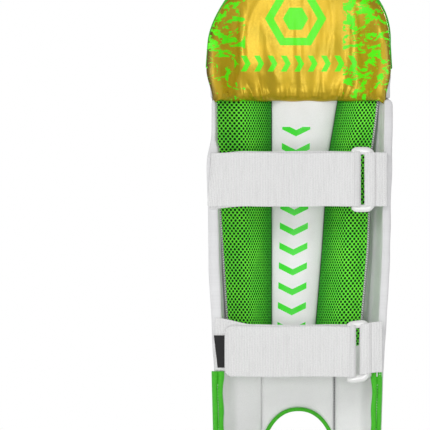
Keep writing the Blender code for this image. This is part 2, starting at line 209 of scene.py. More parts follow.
def outline(z):
    s = shape()
    if z > s.dome_z:
        return superellipse(z - s.dome_z, s.dome_rise, s.dome_half, DOME_POWER)
    return between(WAIST, z)


def dome_top(x, inset):
    s = shape()
    return s.dome_z + superellipse(x, s.dome_half - inset, s.dome_rise - inset, DOME_POWER)


def side_lean(z):
    """The rounded top leans a little to one side."""
    return 0.0045 * ease(0.556, 0.625, z)


def arch(x):
    return superellipse(x, 0.052, 0.0855, 2.2)


def inner_y(x, z):
    """Inner face of the board, which bows round the shin and leans with height."""
    s = shape()
    lean = between(((0.0, 0.012), (s.bend_z, 0.0), (KNEE_Z, 0.006), (s.dome_z + s.dome_rise, -0.010)), z)
    return s.board_y - s.bow * x * x + lean


def front_y(x, z):
    return inner_y(x, z) + shape().board_thick


def rim_y(x, z, ahead):
    """Depth of the rim: ahead of the board's inner face, and drawn to the leg beyond the outer rolls."""
    flat = inner_y(min(abs(x), ROOT_X), z) + ahead
    return lerp(flat, RIM_REAR, part_way(ROOT_X, shape().dome_half, abs(x)))


def wing_rear(z):
    return between(WING_REAR, z)


def knee_rear(z):
    rise = part_way(0.0, 0.062, z - shape().dome_z)
    return lerp(-0.022, inner_y(0.089, z) + 0.003, rise * rise)


def wing_spot(t, z, half, rear, inward):
    """A right-hand wing in plan: t from the outer roll to the rear edge, inward from its outer face."""
    root = Vector((ROOT_X, inner_y(ROOT_X, z) + 0.0105))
    corner = Vector((lerp(ROOT_X, half, 0.9), root.y - 0.004))
    edge = Vector((half, rear))
    point = root * (1 - t) ** 2 + corner * 2 * t * (1 - t) + edge * t * t
    run = (corner - root) * (1 - t) + (edge - corner) * t
    return point + Vector((run.y, -run.x)).normalized() * inward


# ---------------------------------------------------------------- mesh helpers


def even(count):
    return [i / count for i in range(count + 1)]


def spaced(low, high, step):
    return [lerp(low, high, share) for share in even(max(2, round((high - low) / step)))]


def grid_pad(across, up, face, lift, chart=None):
    """A closed pad: a grid laid on face(u, v), and a copy of it raised by lift(u, v)."""
    bm = bmesh.new()
    columns, levels = len(across) - 1, len(up) - 1
    bmesh.ops.create_grid(bm, x_segments=columns, y_segments=levels, size=1.0)
    raised = bmesh.ops.extrude_face_region(bm, geom=bm.faces[:], use_keep_orig=True)
    tops = {item for item in raised["geom"] if isinstance(item, bmesh.types.BMVert)}
    spots = {}
    for vert in bm.verts:
        u = across[round((vert.co.x + 1) / 2 * columns)]
        v = up[round((vert.co.y + 1) / 2 * levels)]
        spots[vert] = (u, v)
        point = Vector(face(u, v))
        vert.co = point + Vector(lift(u, v)) if vert in tops else point
    layer, cell = (bm.loops.layers.uv.new(name) for name in ("chart", "cell"))
    for item in bm.faces:
        for loop in item.loops:
            u, v = spots[loop.vert]
            loop[layer].uv = chart(u, v) if chart else (u, v)
            loop[cell].uv = (u, v)
    bmesh.ops.recalc_face_normals(bm, faces=bm.faces[:])
    return bm


def sewn_pad(across, up, spot, back, deep, chart=None):
    """A closed pad sewn on back(x, z) at spot(u, v), which stands out along Y by deep(u, v, x, z)."""

    def face(u, v):
        x, z = spot(u, v)
        return (x, back(x, z), z)

    return grid_pad(across, up, face, lambda u, v: (0.0, deep(u, v, *spot(u, v)), 0.0), chart or spot)


def place_mesh(name, bm):
    """Turn a bmesh into an object of the scene, and free it."""
    mesh = bpy.data.meshes.new(name)
    bm.to_mesh(mesh)
    bm.free()
    made = bpy.data.objects.new(name, mesh)
    bpy.context.scene.collection.objects.link(made)
    return made


def add_piece(name, bm, look, body, nodes=(), levels=0):
    """Make a finished piece of a bmesh, hang it on its body if it has one, and hide the parts that it stands
    in for.
    """
    slot, make, values = LOOKS[look]
    piece = place_mesh(name, bm)
    piece.data.shade_smooth()
    piece.data.materials.append(make(look, **values))
    if levels:
        smoother = piece.modifiers.new("smooth", "SUBSURF")
        smoother.levels = levels
        smoother.render_levels = levels
    if body:
        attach(piece, body)
    if nodes:
        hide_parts(*nodes)
    return piece


def final_mesh(piece):
    return bpy.data.meshes.new_from_object(piece.evaluated_get(bpy.context.evaluated_depsgraph_get()))


def tube(points, radius, closed=False, flat=1.0, sides=3, widths=None):
    """A round cord through points; flat squeezes it front to back about its middle."""
    curve = bpy.data.curves.new("path", "CURVE")
    curve.dimensions = "3D"
    curve.bevel_depth = radius
    curve.bevel_resolution = sides
    curve.use_fill_caps = not closed
    spline = curve.splines.new("POLY")
    spline.points.add(len(points) - 1)
    for knot, point, width in zip(spline.points, points, widths or [1.0] * len(points)):
        knot.co = (*point, 1.0)
        knot.radius = width
    spline.use_cyclic_u = closed
    holder = bpy.data.objects.new("path", curve)
    bpy.context.scene.collection.objects.link(holder)
    bpy.context.view_layer.update()
    mesh = final_mesh(holder)
    bpy.data.objects.remove(holder)
    bpy.data.curves.remove(curve)
    bm = bmesh.new()
    bm.from_mesh(mesh)
    bpy.data.meshes.remove(mesh)
    bmesh.ops.remove_doubles(bm, verts=bm.verts[:], dist=1e-6)
    if flat != 1.0:
        middle = sum(point[1] for point in points) / len(points)
        for vert in bm.verts:
            vert.co.y = middle + (vert.co.y - middle) * flat
    bmesh.ops.recalc_face_normals(bm, faces=bm.faces[:])
    return bm


def catmull(points, step):
    """A smooth run of points through a few given ones."""
    points = [Vector(p) for p in points]
    padded = [2 * points[0] - points[1], *points, 2 * points[-1] - points[-2]]
    run = []
    for a, b, c, d in zip(padded, padded[1:], padded[2:], padded[3:]):
        for t in even(max(2, round((c - b).length / step)))[:-1]:
            run.append(0.5 * ((2 * b) + (c - a) * t + (2 * a - 5 * b + 4 * c - d) * t * t
                              + (3 * b - a - 3 * c + d) * t ** 3))
    return run + [points[-1]]


def stitch_row(name, points, body, look="thread_white", pitch=0.0036, thick=0.0005, share=0.62, slant=0.0):
    """A row of thread stitches along a run of points."""
    bm = bmesh.new()
    half = pitch * share / 2
    travelled, due = 0.0, pitch / 2
    for first, second in zip(points, points[1:]):
        first, second = Vector(first), Vector(second)
        step = (second - first).length
        while step > 0 and travelled + step >= due:
            place = first.lerp(second, (due - travelled) / step)
            turn = (second - first).normalized().to_track_quat("X", "Y")
            for vert in bmesh.ops.create_icosphere(bm, subdivisions=1, radius=1.0)["verts"]:
                x, y, z = vert.co
                vert.co = place + turn @ Vector((x * half, y * thick + slant * x * half, z * thick))
            due += pitch
        travelled += step
    return add_piece(name, bm, look, body)


def puffed(bm, pinned, cap, voxel=0.005, pressure=4.0):
    """Blow a closed pad up as cloth, held where pinned says, and return its skin to measure against."""
    bag = place_mesh("puff", bm)
    remesh = bag.modifiers.new("remesh", "REMESH")
    remesh.mode = "VOXEL"
    remesh.voxel_size = voxel
    bag.data = final_mesh(bag)
    bag.modifiers.clear()
    before = [vert.co.copy() for vert in bag.data.vertices]
    hold = bag.vertex_groups.new(name="hold")
    hold.add([i for i, co in enumerate(before) if pinned(co)], 1.0, "REPLACE")
    cloth = bag.modifiers.new("cloth", "CLOTH")
    cloth.settings.quality = 5
    cloth.settings.mass = 0.3
    cloth.settings.tension_stiffness = 12
    cloth.settings.compression_stiffness = 12
    cloth.settings.vertex_group_mass = "hold"
    cloth.settings.use_pressure = True
    cloth.settings.uniform_pressure_force = pressure
    cloth.settings.effector_weights.gravity = 0
    last_frame = 20
    cloth.point_cache.frame_start = 1
    cloth.point_cache.frame_end = last_frame
    for step in range(1, last_frame + 1):
        bpy.context.scene.frame_set(step)
    skin = final_mesh(bag)
    points = []
    for start, vert in zip(before, skin.vertices):
        move = vert.co - start
        points.append(start + move * min(1.0, cap / max(move.length, 1e-9)))
    tree = BVHTree.FromPolygons(points, [tuple(item.vertices) for item in skin.polygons])
    bpy.data.objects.remove(bag)
    bpy.context.scene.frame_set(1)
    return tree


def skin_depth(tree, x, z, base_y, fallback):
    """How far the puffed skin stands off base_y towards the leg."""
    hit = tree.ray_cast(Vector((x, -0.2, z)), Vector((0.0, 1.0, 0.0)))[0] if tree else None
    return max(base_y - hit.y, 0.0) if hit else fallback


# ---------------------------------------------------------------- shader helpers


def plug(node, inputs):
    """Set a node's inputs: each is a value, or another node's socket to link."""
    for key, value in inputs.items():
        if isinstance(value, bpy.types.NodeSocket):
            node.id_data.links.new(value, node.inputs[key])
        else:
            node.inputs[key].default_value = value


def put(kind, inputs, **settings):
    """Add a node to the tree that its inputs come from."""
    tree = next(value.id_data for value in inputs.values() if isinstance(value, bpy.types.NodeSocket))
    node = tree.nodes.new(kind)
    for key, value in settings.items():
        setattr(node, key, value)
    plug(node, inputs)
    return node


def calc(operation, *values):
    return put("ShaderNodeMath", dict(enumerate(values)), operation=operation).outputs[0]


def ramp(value, low, high, start=0.0, stop=1.0):
    """Smooth step of a value from start to stop."""
    inputs = {"Value": value, 1: low, 2: high, 3: start, 4: stop}
    return put("ShaderNodeMapRange", inputs, interpolation_type="SMOOTHSTEP").outputs[0]


def mix(factor, first, second):
    return put("ShaderNodeMix", {0: factor, 6: first, 7: second}, data_type="RGBA").outputs[2]


def clouds(vector, scale, detail=2.0, **more):
    inputs = {"Vector": vector, "Scale": scale, "Detail": detail, **more}
    return put("ShaderNodeTexNoise", inputs).outputs["Fac"]


def stretched(vector, y):
    return put("ShaderNodeMapping", {"Vector": vector, "Scale": (1.0, y, 1.0)}).outputs[0]


def axes(vector):
    return put("ShaderNodeSeparateXYZ", {0: vector}).outputs


def bump(height, distance):
    return put("ShaderNodeBump", {"Height": height, "Distance": distance, "Strength": 1.0}).outputs[0]


def node_group(**inputs):
    """Make a builder the placer of a shader node group of its name; an input of None is a vector."""

    def made_once(build):
        name = build.__name__
        if name in bpy.data.node_groups:
            return bpy.data.node_groups[name]
        tree = bpy.data.node_groups.new(name, "ShaderNodeTree")
        for label, default in inputs.items():
            kind = "NodeSocketVector" if default is None else "NodeSocketFloat"
            socket = tree.interface.new_socket(name=label, in_out="INPUT", socket_type=kind)
            if default is not None:
                socket.default_value = default
        results = build(tree.nodes.new("NodeGroupInput").outputs)
        for label in results:
            tree.interface.new_socket(name=label, in_out="OUTPUT", socket_type="NodeSocketFloat")
        plug(tree.nodes.new("NodeGroupOutput"), results)
        return tree

    def placer(build):
        return lambda **values: put("ShaderNodeGroup", values, node_tree=made_once(build)).outputs

    return placer


@node_group(Vector=None, Scale=900.0)
def leather_grain(inside):
    """Leather grain: small cells with soft creases, and a slow unevenness."""
    inputs = {"Vector": inside["Vector"], "Scale": inside["Scale"]}
    cells = put("ShaderNodeTexVoronoi", inputs, feature="DISTANCE_TO_EDGE").outputs["Distance"]
    creases = ramp(cells, 0.0, 0.16)
    fine = clouds(inside["Vector"], 2600.0, 3.0)
    slow = clouds(inside["Vector"], 14.0, 4.0)
    height = calc("ADD", creases, calc("MULTIPLY", fine, 0.5))
    return {"Height": height, "Creases": creases, "Slow": ramp(slow, 0.3, 0.7)}


@node_group(Vector=None, Pitch=0.0008)
def plain_weave(inside):
    """Plain weave: crossing threads of a given pitch, with thread-to-thread variation."""
    place = axes(inside["Vector"])
    waves = []
    for axis in ("X", "Y"):
        turns = calc("DIVIDE", place[axis], inside["Pitch"])
        waves.append(calc("SINE", calc("MULTIPLY", turns, math.tau)))
    threads = clouds(inside["Vector"], 420.0)
    height = calc("ADD", calc("MULTIPLY", calc("MULTIPLY", *waves), 0.5), threads)
    return {"Height": height, "Threads": threads, "Slow": clouds(inside["Vector"], 22.0, 3.0)}


@node_group(Vector=None, Across=0.0056, Up=0.0069)
def air_mesh(inside):
    """Staggered round holes of spacer mesh, 1 on the net and 0 in the holes."""
    place = axes(inside["Vector"])
    ways = []
    for axis, pitch in (("X", "Across"), ("Y", "Up")):
        ways.append((calc("DIVIDE", place[axis], inside[pitch]), inside[pitch]))
    away = []
    for shift in (0.0, 0.5):
        parts = []
        for turns, pitch in ways:
            near = calc("SUBTRACT", calc("FRACT", calc("ADD", turns, shift)), 0.5)
            parts.append(calc("POWER", calc("MULTIPLY", near, pitch), 2.0))
        away.append(calc("SQRT", calc("ADD", *parts)))
    net = ramp(calc("MINIMUM", *away), 0.0012, 0.0019)
    return {"Net": net, "Fibres_and_highlights": clouds(inside["Vector"], 1500.0), "Slow": clouds(inside["Vector"], 30.0)}


@node_group(Vector=None, Pitch=0.0024)
def tape_ribs(inside):
    """Ribs across a woven tape, with fine yarns along them."""
    place = axes(inside["Vector"])
    wave = calc("COSINE", calc("MULTIPLY", calc("DIVIDE", place["X"], inside["Pitch"]), math.tau))
    yarn = calc("SINE", calc("MULTIPLY", place["Y"], math.tau / 0.0009))
    fuzz = clouds(inside["Vector"], 700.0)
    rib_unevenness = clouds(stretched(inside["Vector"], 0.10), 260.0, 1.0)
    height = calc("ADD", calc("ADD", wave, calc("MULTIPLY", yarn, 0.25)), fuzz)
    # Ribs: 1 on the rib tops and 0 in the grooves, where the finish paints shade; a noise stretched along the
    # ribs varies it at random.
    ribs = calc("MULTIPLY", ramp(wave, -1.0, 0.6), ramp(rib_unevenness, 0.25, 0.55, 0.35, 1.0))
    return {"Height": height, "Ribs": ribs, "Fuzz": fuzz}


@node_group(Along=0.0, Across=0.0, Middle=0.0, Slope=0.0, Pitch=0.0, Share=0.0, Half=0.0, Low=0.0, High=0.0)
def chevron_row(inside):
    """A row of chevrons along one direction, inside a band."""
    along = inside["Along"]
    offset = calc("ABSOLUTE", calc("SUBTRACT", inside["Across"], inside["Middle"]))
    turns = calc("DIVIDE", calc("ADD", along, calc("MULTIPLY", offset, inside["Slope"])), inside["Pitch"])
    bars = calc("LESS_THAN", calc("FRACT", turns), inside["Share"])
    banded = calc("MULTIPLY", bars, calc("LESS_THAN", offset, inside["Half"]))
    above = calc("GREATER_THAN", along, inside["Low"])
    below = calc("LESS_THAN", along, inside["High"])
    return {"Mask": calc("MULTIPLY", banded, calc("MULTIPLY", above, below))}


@node_group(Vector=None)
def torn_print(inside):
    """Brushed and torn print on both flanks, sparser near the hem."""
    place = axes(inside["Vector"])
    brushed = stretched(inside["Vector"], 1.5)
    blots = clouds(brushed, 34.0, 6.0, Roughness=0.66, Distortion=1.6)
    ticks = clouds(brushed, 130.0, 3.0, Roughness=0.6)
    ragged = calc("ADD", blots, calc("MULTIPLY", calc("SUBTRACT", ticks, 0.5), 0.32))
    left = ramp(place["X"], -0.0695, -0.0710)
    right = ramp(place["X"], 0.0575, 0.0590)
    level = calc("ADD", 0.508, ramp(place["Y"], 0.535, 0.560, 0.045, 0.0))
    shown = ramp(calc("SUBTRACT", ragged, level), -0.003, 0.006)
    return {"Mask": calc("MULTIPLY", shown, calc("MAXIMUM", left, right))}


# ---------------------------------------------------------------- finishes


def finish(build):
    """Make a builder of a Principled shader's inputs the maker of its material, made once by name."""

    def made(name, *values, **settings):
        name += "_finish"
        if name in bpy.data.materials:
            return bpy.data.materials[name]
        material = bpy.data.materials.new(name)
        material.use_nodes = True
        nodes = material.node_tree.nodes
        coordinates = nodes.new("ShaderNodeTexCoord").outputs
        plug(nodes["Principled BSDF"], build(coordinates, *values, **settings))
        return material

    return made


@finish
def leather(coordinates, tint, coords="Object", scale=900.0, rough=0.46, chevrons=False):
    """Grained leather, printed with chevrons up the middle where chevrons is set."""
    grain = leather_grain(Vector=coordinates[coords], Scale=scale)
    base = mix(grain["Slow"], shade(colour(tint), 0.93), colour(tint))
    base = mix(ramp(grain["Creases"], 0.0, 1.0, 0.12, 0.0), base, (0.45, 0.45, 0.44, 1.0))
    if chevrons:
        place = axes(coordinates["UV"])
        row = chevron_row(
            Along=place["Y"], Across=place["X"], Middle=0.0, Slope=-0.50, Pitch=detail().chevron_pitch,
            Share=0.32, Half=0.0185, Low=0.150, High=0.458,
        )
        base = mix(row["Mask"], base, colour("panel_green"))
    return {
        "Base Color": base,
        "Roughness": ramp(grain["Slow"], 0.0, 1.0, rough - 0.05, rough + 0.05),
        "Coat Weight": 0.08,
        "Normal": bump(grain["Height"], 0.00012),
    }


@finish
def wing_cloth(coordinates):
    """Matt white cloth of the wings."""
    weave = plain_weave(Vector=coordinates["UV"], Pitch=0.0009)
    base = mix(ramp(weave["Slow"], 0.3, 0.7), shade(colour("wing"), 0.88), colour("wing"))
    return {
        "Base Color": mix(ramp(weave["Threads"], 0.35, 0.65, 0.10, 0.0), base, (0.5, 0.5, 0.5, 1.0)),
        "Roughness": ramp(weave["Threads"], 0.3, 0.7, 0.5, 0.66),
        "Sheen Weight": 0.15,
        "Normal": bump(weave["Height"], 0.00012),
    }


@finish
def gold_satin(coordinates):
    """Gold satin, with painted shade at its rim and on its right side, and the green prints over it."""
    chart = coordinates["UV"]
    place = axes(chart)
    weave = plain_weave(Vector=chart, Pitch=0.0007)
    # Deeper gold: random unevenness of the satin's tone, and painted shade on its right side.
    deep = (0.46, 0.32, 0.004, 1.0)
    base = mix(ramp(weave["Slow"], 0.3, 0.66), deep, colour("gold"))
    cell = chart.id_data.nodes.new("ShaderNodeUVMap")
    cell.uv_map = "cell"
    rim = calc("ABSOLUTE", calc("SUBTRACT", axes(cell.outputs[0])["X"], 0.5))
    # Painted shade: the satin darkens along its rim, where it turns away from the light.
    base = mix(ramp(rim, 0.455, 0.496, 0.0, 0.85), base, (0.045, 0.035, 0.002, 1.0))
    # Painted shade: the right side darkens towards the deeper gold, away from the key light on the left.
    base = mix(ramp(place["X"], 0.03, 0.10, 0.0, 0.35), base, deep)
    marks = chevron_row(
        Along=place["X"], Across=place["Y"], Middle=0.5410, Slope=0.55, Pitch=0.0176, Share=0.42, Half=0.0105,
        Low=-0.0845, High=0.0765,
    )["Mask"]
    printed = calc("MAXIMUM", calc("MAXIMUM", torn_print(Vector=chart)["Mask"], marks), hexagon(place))
    bare = calc("SUBTRACT", 1.0, printed)
    return {
        "Base Color": mix(printed, base, colour("print_green")),
        "Roughness": ramp(weave["Threads"], 0.3, 0.7, 0.37, 0.45),
        "Metallic": calc("MULTIPLY", bare, 0.5),
        "Anisotropic": 0.4,
        "Specular IOR Level": 0.35,
        "Coat Weight": calc("MULTIPLY", bare, 0.2),
        "Coat Roughness": 0.32,
        "Normal": bump(weave["Height"], 0.000012),
    }


def hexagon(place):
    """A plain hexagon ring with a solid hexagon in it."""
    x = calc("ABSOLUTE", calc("ADD", place["X"], 0.004))
    z = calc("ABSOLUTE", calc("SUBTRACT", place["Y"], 0.6000))
    slanted = calc("ADD", calc("MULTIPLY", x, 0.866), calc("MULTIPLY", z, 0.5))
    away = calc("MAXIMUM", slanted, z)
    ring = calc("LESS_THAN", calc("ABSOLUTE", calc("SUBTRACT", away, 0.0300)), 0.0050)
    return calc("MAXIMUM", ring, calc("LESS_THAN", away, 0.0145))


@finish
def green_air_mesh(coordinates):
    """Green spacer mesh with painted shade in its holes and beside the centre panel, and painted highlights
    on its fibres.
    """
    chart = coordinates["UV"]
    across = axes(chart)["X"]
    made = air_mesh(Vector=chart, Across=detail().hole_across, Up=detail().hole_up)
    lit = mix(ramp(made["Slow"], 0.3, 0.7), (0.045, 0.74, 0.028, 1.0), colour("mesh_green"))
    # Lighter fibres: partly unevenness of the fibres, partly painted highlight.
    lit = mix(ramp(made["Fibres_and_highlights"], 0.3, 0.7, 0.0, 0.5), lit, (0.34, 0.98, 0.07, 1.0))
    # Painted shade on the bolster's inner slope, deepest beside the centre panel.
    lit = mix(ramp(across, 0.004, 0.060, 0.92, 0.0), lit, (0.025, 0.42, 0.016, 1.0))
    # Painted shade in the seam with the centre panel: a deep green line along it.
    lit = mix(ramp(across, 0.0, 0.006, 0.8, 0.0), lit, (0.004, 0.10, 0.006, 1.0))
    return {
        # Painted shade in the holes: near-black green where the mesh is open.
        "Base Color": mix(made["Net"], (0.0006, 0.036, 0.003, 1.0), lit),
        "Roughness": ramp(made["Net"], 0.0, 1.0, 0.95, 0.62),
        "Specular IOR Level": 0.3,
        "Normal": bump(made["Net"], 0.0008),
    }


@finish
def ribbed(coordinates, tint, coords="UV", pitch=None, dark=0.86, depth=0.00015):
    """Ribbed tape or webbing, with painted shade in the grooves between its ribs and pale fuzz on its ribs.
    """
    ribs = tape_ribs(Vector=coordinates[coords], Pitch=pitch or detail().rib_pitch)
    # Painted shade: the grooves between the ribs take the darker share of the tint.
    base = mix(ribs["Ribs"], shade(colour(tint), dark), colour(tint))
    return {
        "Base Color": mix(ramp(ribs["Fuzz"], 0.35, 0.7, 0.0, 0.30), base, shade(colour(tint), 1.35, 0.95)),
        "Roughness": ramp(ribs["Fuzz"], 0.3, 0.7, 0.62, 0.82),
        "Specular IOR Level": 0.3,
        "Normal": bump(ribs["Height"], depth),
    }


@finish
def plain(coordinates, tint, rough, scale, depth, coat=0.0, spread=0.85):
    """Moulded, spun or cut stuff: a fine unevenness in colour, gloss and height."""
    fine = clouds(coordinates["Object"], scale, 4.0)
    slow = clouds(coordinates["Object"], 30.0)
    return {
        "Base Color": mix(ramp(slow, 0.3, 0.7), shade(tint, spread), shade(tint, 1.0)),
        "Roughness": ramp(fine, 0.3, 0.7, rough - 0.05, rough + 0.07),
        "Coat Weight": coat,
        "Normal": bump(fine, depth),
    }


@finish
def floor_paint(coordinates):
    """Pale floor that fades out towards its edge."""
    away = put("ShaderNodeVectorMath", {0: coordinates["Object"]}, operation="LENGTH").outputs["Value"]
    cloudy = clouds(coordinates["Object"], 3.0)
    return {
        "Base Color": mix(cloudy, (0.93, 0.93, 0.93, 1.0), (0.96, 0.96, 0.96, 1.0)),
        "Roughness": 0.9,
        "Alpha": ramp(away, 0.75, 1.30, 1.0, 0.0),
    }


MOULDED = {"rough": 0.3, "scale": 500.0, "depth": 0.00005, "coat": 0.4, "spread": 0.97}
BRISTLES = {"rough": 0.85, "scale": 2500.0, "depth": 0.0004}
THREAD = {"rough": 0.6, "scale": 1800.0, "depth": 0.0001}

# Each look: the record's slot that it belongs to, its maker, and what the maker is given.
LOOKS = {
    "white_leather": ("face_leather", leather, {"tint": "white"}),
    "lining_leather": ("lining_leather", leather, {"tint": "lining", "scale": 700.0, "rough": 0.5}),
    "printed_lining": (
        "lining_leather", leather, {"tint": "lining", "coords": "UV", "scale": 800.0, "chevrons": True}),
    "wing_cloth": ("wing_fabric", wing_cloth, {}),
    "gold_satin": ("gold_satin", gold_satin, {}),
    "green_air_mesh": ("green_mesh", green_air_mesh, {}),
    "binding_tape": (
        "green_binding", ribbed,
        {"tint": "binding_green", "coords": "Object", "pitch": 0.0011, "dark": 0.7, "depth": 0.00012}),
    "strap_webbing": ("strap_webbing", ribbed, {"tint": "webbing"}),
    "ring_plastic": ("ring_plastic", plain, {"tint": (0.78, 0.78, 0.775), **MOULDED}),
    "hook_tape": ("hook_tape", plain, {"tint": (0.018, 0.018, 0.019), **BRISTLES}),
    "thread_white": ("wing_fabric", plain, {"tint": (0.86, 0.86, 0.85), **THREAD}),
    "thread_grey": ("wing_fabric", plain, {"tint": (0.30, 0.30, 0.31), **THREAD}),
}


# ---------------------------------------------------------------- pieces


def heights(node):
    return [corner[2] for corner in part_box(node)]


def roll_sides():
    """Left and right side of each roll down the shin."""
    return [(low[0], high[0]) for low, high in (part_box(f"shin_roll_{i}") for i in range(1, 6))]


def roll_pad(node, sides, low, high_at, deep, low_end, high_end, body, wide=1.0):
    """A stuffed roll or pod. Each end has its reach, its share of the width and its share of the depth."""
    middle = 0.5 * (sides[0] + sides[1])

    def ends(v, x, share):
        span = high_at(x) - low
        values = []
        for end, away in ((low_end, v * span), (high_end, (1 - v) * span)):
            near = min(away / end[0], 1.0)
            values.append(lerp(end[share], 1.0, math.sqrt(1.0 - (1.0 - near) ** 2)))
        return min(values)

    def spot(u, v):
        x = lerp(*sides, u)
        x = middle + (x - middle) * (wide * ends(v, x, 1))
        return x, lerp(low, high_at(x), v)

    def swell(u, v, x, z):
        across = crown(u, 2.3, 0.55)
        return lerp(0.0035, deep, across) * ends(v, x, 2) + 0.0005 * across * uneven(x * 60, 0.0, z * 28)

    height = high_at(middle) - low
    up = spaced(0, 1, min(0.0065, height / 13) / height)
    bm = sewn_pad(even(14), up, spot, lambda x, z: front_y(x, z) + 0.0004, swell)
    add_piece(f"{node}_facing", bm, "white_leather", body, [node], 1)


def crease_strip():
    """Strip of facing behind the pods, across the crease where the pad folds."""
    bm = sewn_pad(
        even(40), even(12), lambda u, v: (lerp(-0.0835, 0.0835, u), lerp(*CREASE_SPAN, v)),
        lambda x, z: front_y(x, z) + 0.0003, lambda u, v, x, z: 0.0013,
    )
    piece = add_piece("knee_crease_strip", bm, "white_leather", None, ())
    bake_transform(piece)


class PAD_OT_front_rolls(bpy.types.Operator):
    """Rolls down the shin, knee pods and the rolls above the knee"""

    bl_idname = "pad.front_rolls"
    bl_label = "Front rolls and knee pods"

    def execute(self, context):
        s = shape()
        hidden, foot, tip = (0.002, 0.92, 0.25), (0.012, 0.70, 0.25), (0.010, 0.70, 0.25)
        open_end, crease_end = (0.008, 0.95, 0.72), (0.022, 0.50, 0.25)
        for number, sides in enumerate(roll_sides(), 1):
            node = f"shin_roll_{number}"
            low, high = heights(node)
            low_end = hidden if number in (1, 5) else foot
            roll_pad(node, sides, low, lambda x: high + 0.016, s.roll_deep, low_end, hidden, SHIN)
            lower, upper = (crease_end, open_end), (open_end, crease_end)
            for row, body, ends in (("lower", SHIN, lower), ("upper", KNEE, upper)):
                node = f"{row}_knee_pod_{number}"
                low, high = heights(node)
                roll_pad(node, sides, low, lambda x: high, s.pod_deep, *ends, body, POD_WIDEN)
            node = f"top_roll_{number}"
            low = heights(node)[0] - 0.018
            roll_pad(node, sides, low, lambda x: dome_top(x, 0.007), s.roll_deep * 0.9, hidden, tip, KNEE)
        crease_strip()
        return {"FINISHED"}


class PAD_OT_instep(bpy.types.Operator):
    """Plain instep panel above the arch"""

    bl_idname = "pad.instep"
    bl_label = "Instep panel"

    def execute(self, context):
        top = heights("instep_panel")[1] + 0.004

        def spot(u, v):
            x = lerp(-ARCH_HALF, ARCH_HALF, u)
            return x, lerp(arch(x), top, v)

        def swell(u, v, x, z):
            soft = crown(u, 5, 0.5) * crown(v, 6, 0.5)
            fold = 0.0012 * math.sin(x * 95) * ease(0.0, 0.5, v) * ease(1.0, 0.6, v)
            return lerp(0.0030, 0.0100, soft) + fold * soft

        bm = sewn_pad(even(44), even(30), spot, lambda x, z: front_y(x, z) + 0.0003, swell)
        add_piece("instep_facing", bm, "white_leather", SHIN, ["instep_panel"], 1)
        return {"FINISHED"}


def wing_pad(name, side, half_at, rear_at, low, high_at, body, nodes, crescents=(), levels=1):
    """A padded wing: crowned outside, with sewn crescents, and a rolled rear edge."""
    tapers = side < 0 and len(crescents) == 2

    def height(t, v):
        return lerp(low, high_at(t), v)

    def place(t, z, inward):
        point = wing_spot(t, z, half_at(z) - 0.0016 + side * side_lean(z), rear_at(z), inward)
        return Vector((side * point.x, point.y, z))

    def tuck(t, z):
        near = min(1.0, (high_at(t) - z) / 0.007, (z - low + 0.002) / 0.005)
        return 0.0036 * (1 - math.sqrt(max(0.0, 1 - (1 - near) ** 2)))

    def outer(t, v):
        z = height(t, v)
        swell = 0.0016 * math.sin(math.pi * min(t * 1.05, 1.0)) + 0.0012 * ridge(t, 0.55, 0.12)
        for middle, reach, bow in crescents:
            away = abs(z - middle)
            if away < reach:
                line = 0.14 + bow * (1 - ((z - middle) / reach) ** 2)
                swell -= 0.0032 * ridge(t, line, 0.030) * ease(reach, reach * 0.7, away)
        swell += 0.0012 * uneven(t * 3 + side * 5, 0.3, z * 24) - tuck(t, z)
        return place(t, z, -swell)

    def inner(t, v):
        z = height(t, v)
        edge = lerp(1.0, 1.30 if side < 0 else 1.05, ease(0.6, 1.0, t))
        thin = lerp(1.0, 0.42, ease(0.425, 0.440, z) if tapers else 0.0)
        depth = shape().wing_thick * ease(0.0, 0.03, half_at(z) - ROOT_X) * edge * thin
        depth -= 0.0022 * ridge(t, 0.88, 0.018)
        depth += 0.0008 * uneven(t * 4 + side * 9, 1.7, z * 18) - 0.6 * tuck(t, z)
        return place(t, z, max(depth, 0.0015))

    across = [*spaced(0.0, 0.84, 0.02), *spaced(0.86, 1.0, 0.0175)]
    step = 0.008 / (high_at(0) - low)
    up = [0.0, step * 0.3, *spaced(step * 0.7, 1 - step * 0.7, min(step, 1 / 14)), 1 - step * 0.3, 1.0]
    bm = grid_pad(
        across, up, outer, lambda t, v: inner(t, v) - outer(t, v), lambda t, v: (t * 0.095, height(t, v)))
    return add_piece(name, bm, "wing_cloth", body, nodes, levels)


def side_wings(label, side):
    """The shin's wing, the knee's wing and the gusset that joins them at the fold."""

    def shin_half(z):
        drawn_in = 0.0065 * ease(0.41, 0.45, z) * ease(0.5, 0.49, z) if side < 0 else 0.0
        return outline(z) - drawn_in - side * 0.0015 * ease(0.30, 0.05, z)

    def gusset_half(z):
        return outline(z) - (0.0060 if side < 0 else 0.0028) + 0.002 * ridge(z, 0.523, 0.008)

    def shin_rear(z):
        return wing_rear(z) + 0.008 * ease(0.480, WING_TOP, z) ** 2

    def knee_top(t):
        return lerp(0.638 + 0.004 * side, 0.6265 + 0.0015 * side, t)

    wing_pad(
        f"wing_{label}_cover", side, shin_half, shin_rear,
        0.0004, lambda t: WING_TOP - 0.013 * ease(0.3, 1.0, t), SHIN, [f"wing_{label}"],
        ((0.380, 0.050, 0.26), (0.150, 0.045, 0.22)),
    )
    wing_pad(
        f"knee_wing_{label}_cover", side, lambda z: outline(z) - 0.003, knee_rear,
        KNEE_WING_FOOT, knee_top, KNEE, [f"knee_wing_{label}"],
        ((0.590, 0.040, 0.24),),
    )
    gusset = wing_pad(
        f"knee_gusset_{label}", side, gusset_half, lambda z: lerp(-0.026, -0.0225, ease(0.50, 0.53, z)),
        GUSSET_SPAN[0], lambda t: GUSSET_SPAN[1], None, (), levels=0,
    )
    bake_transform(gusset)


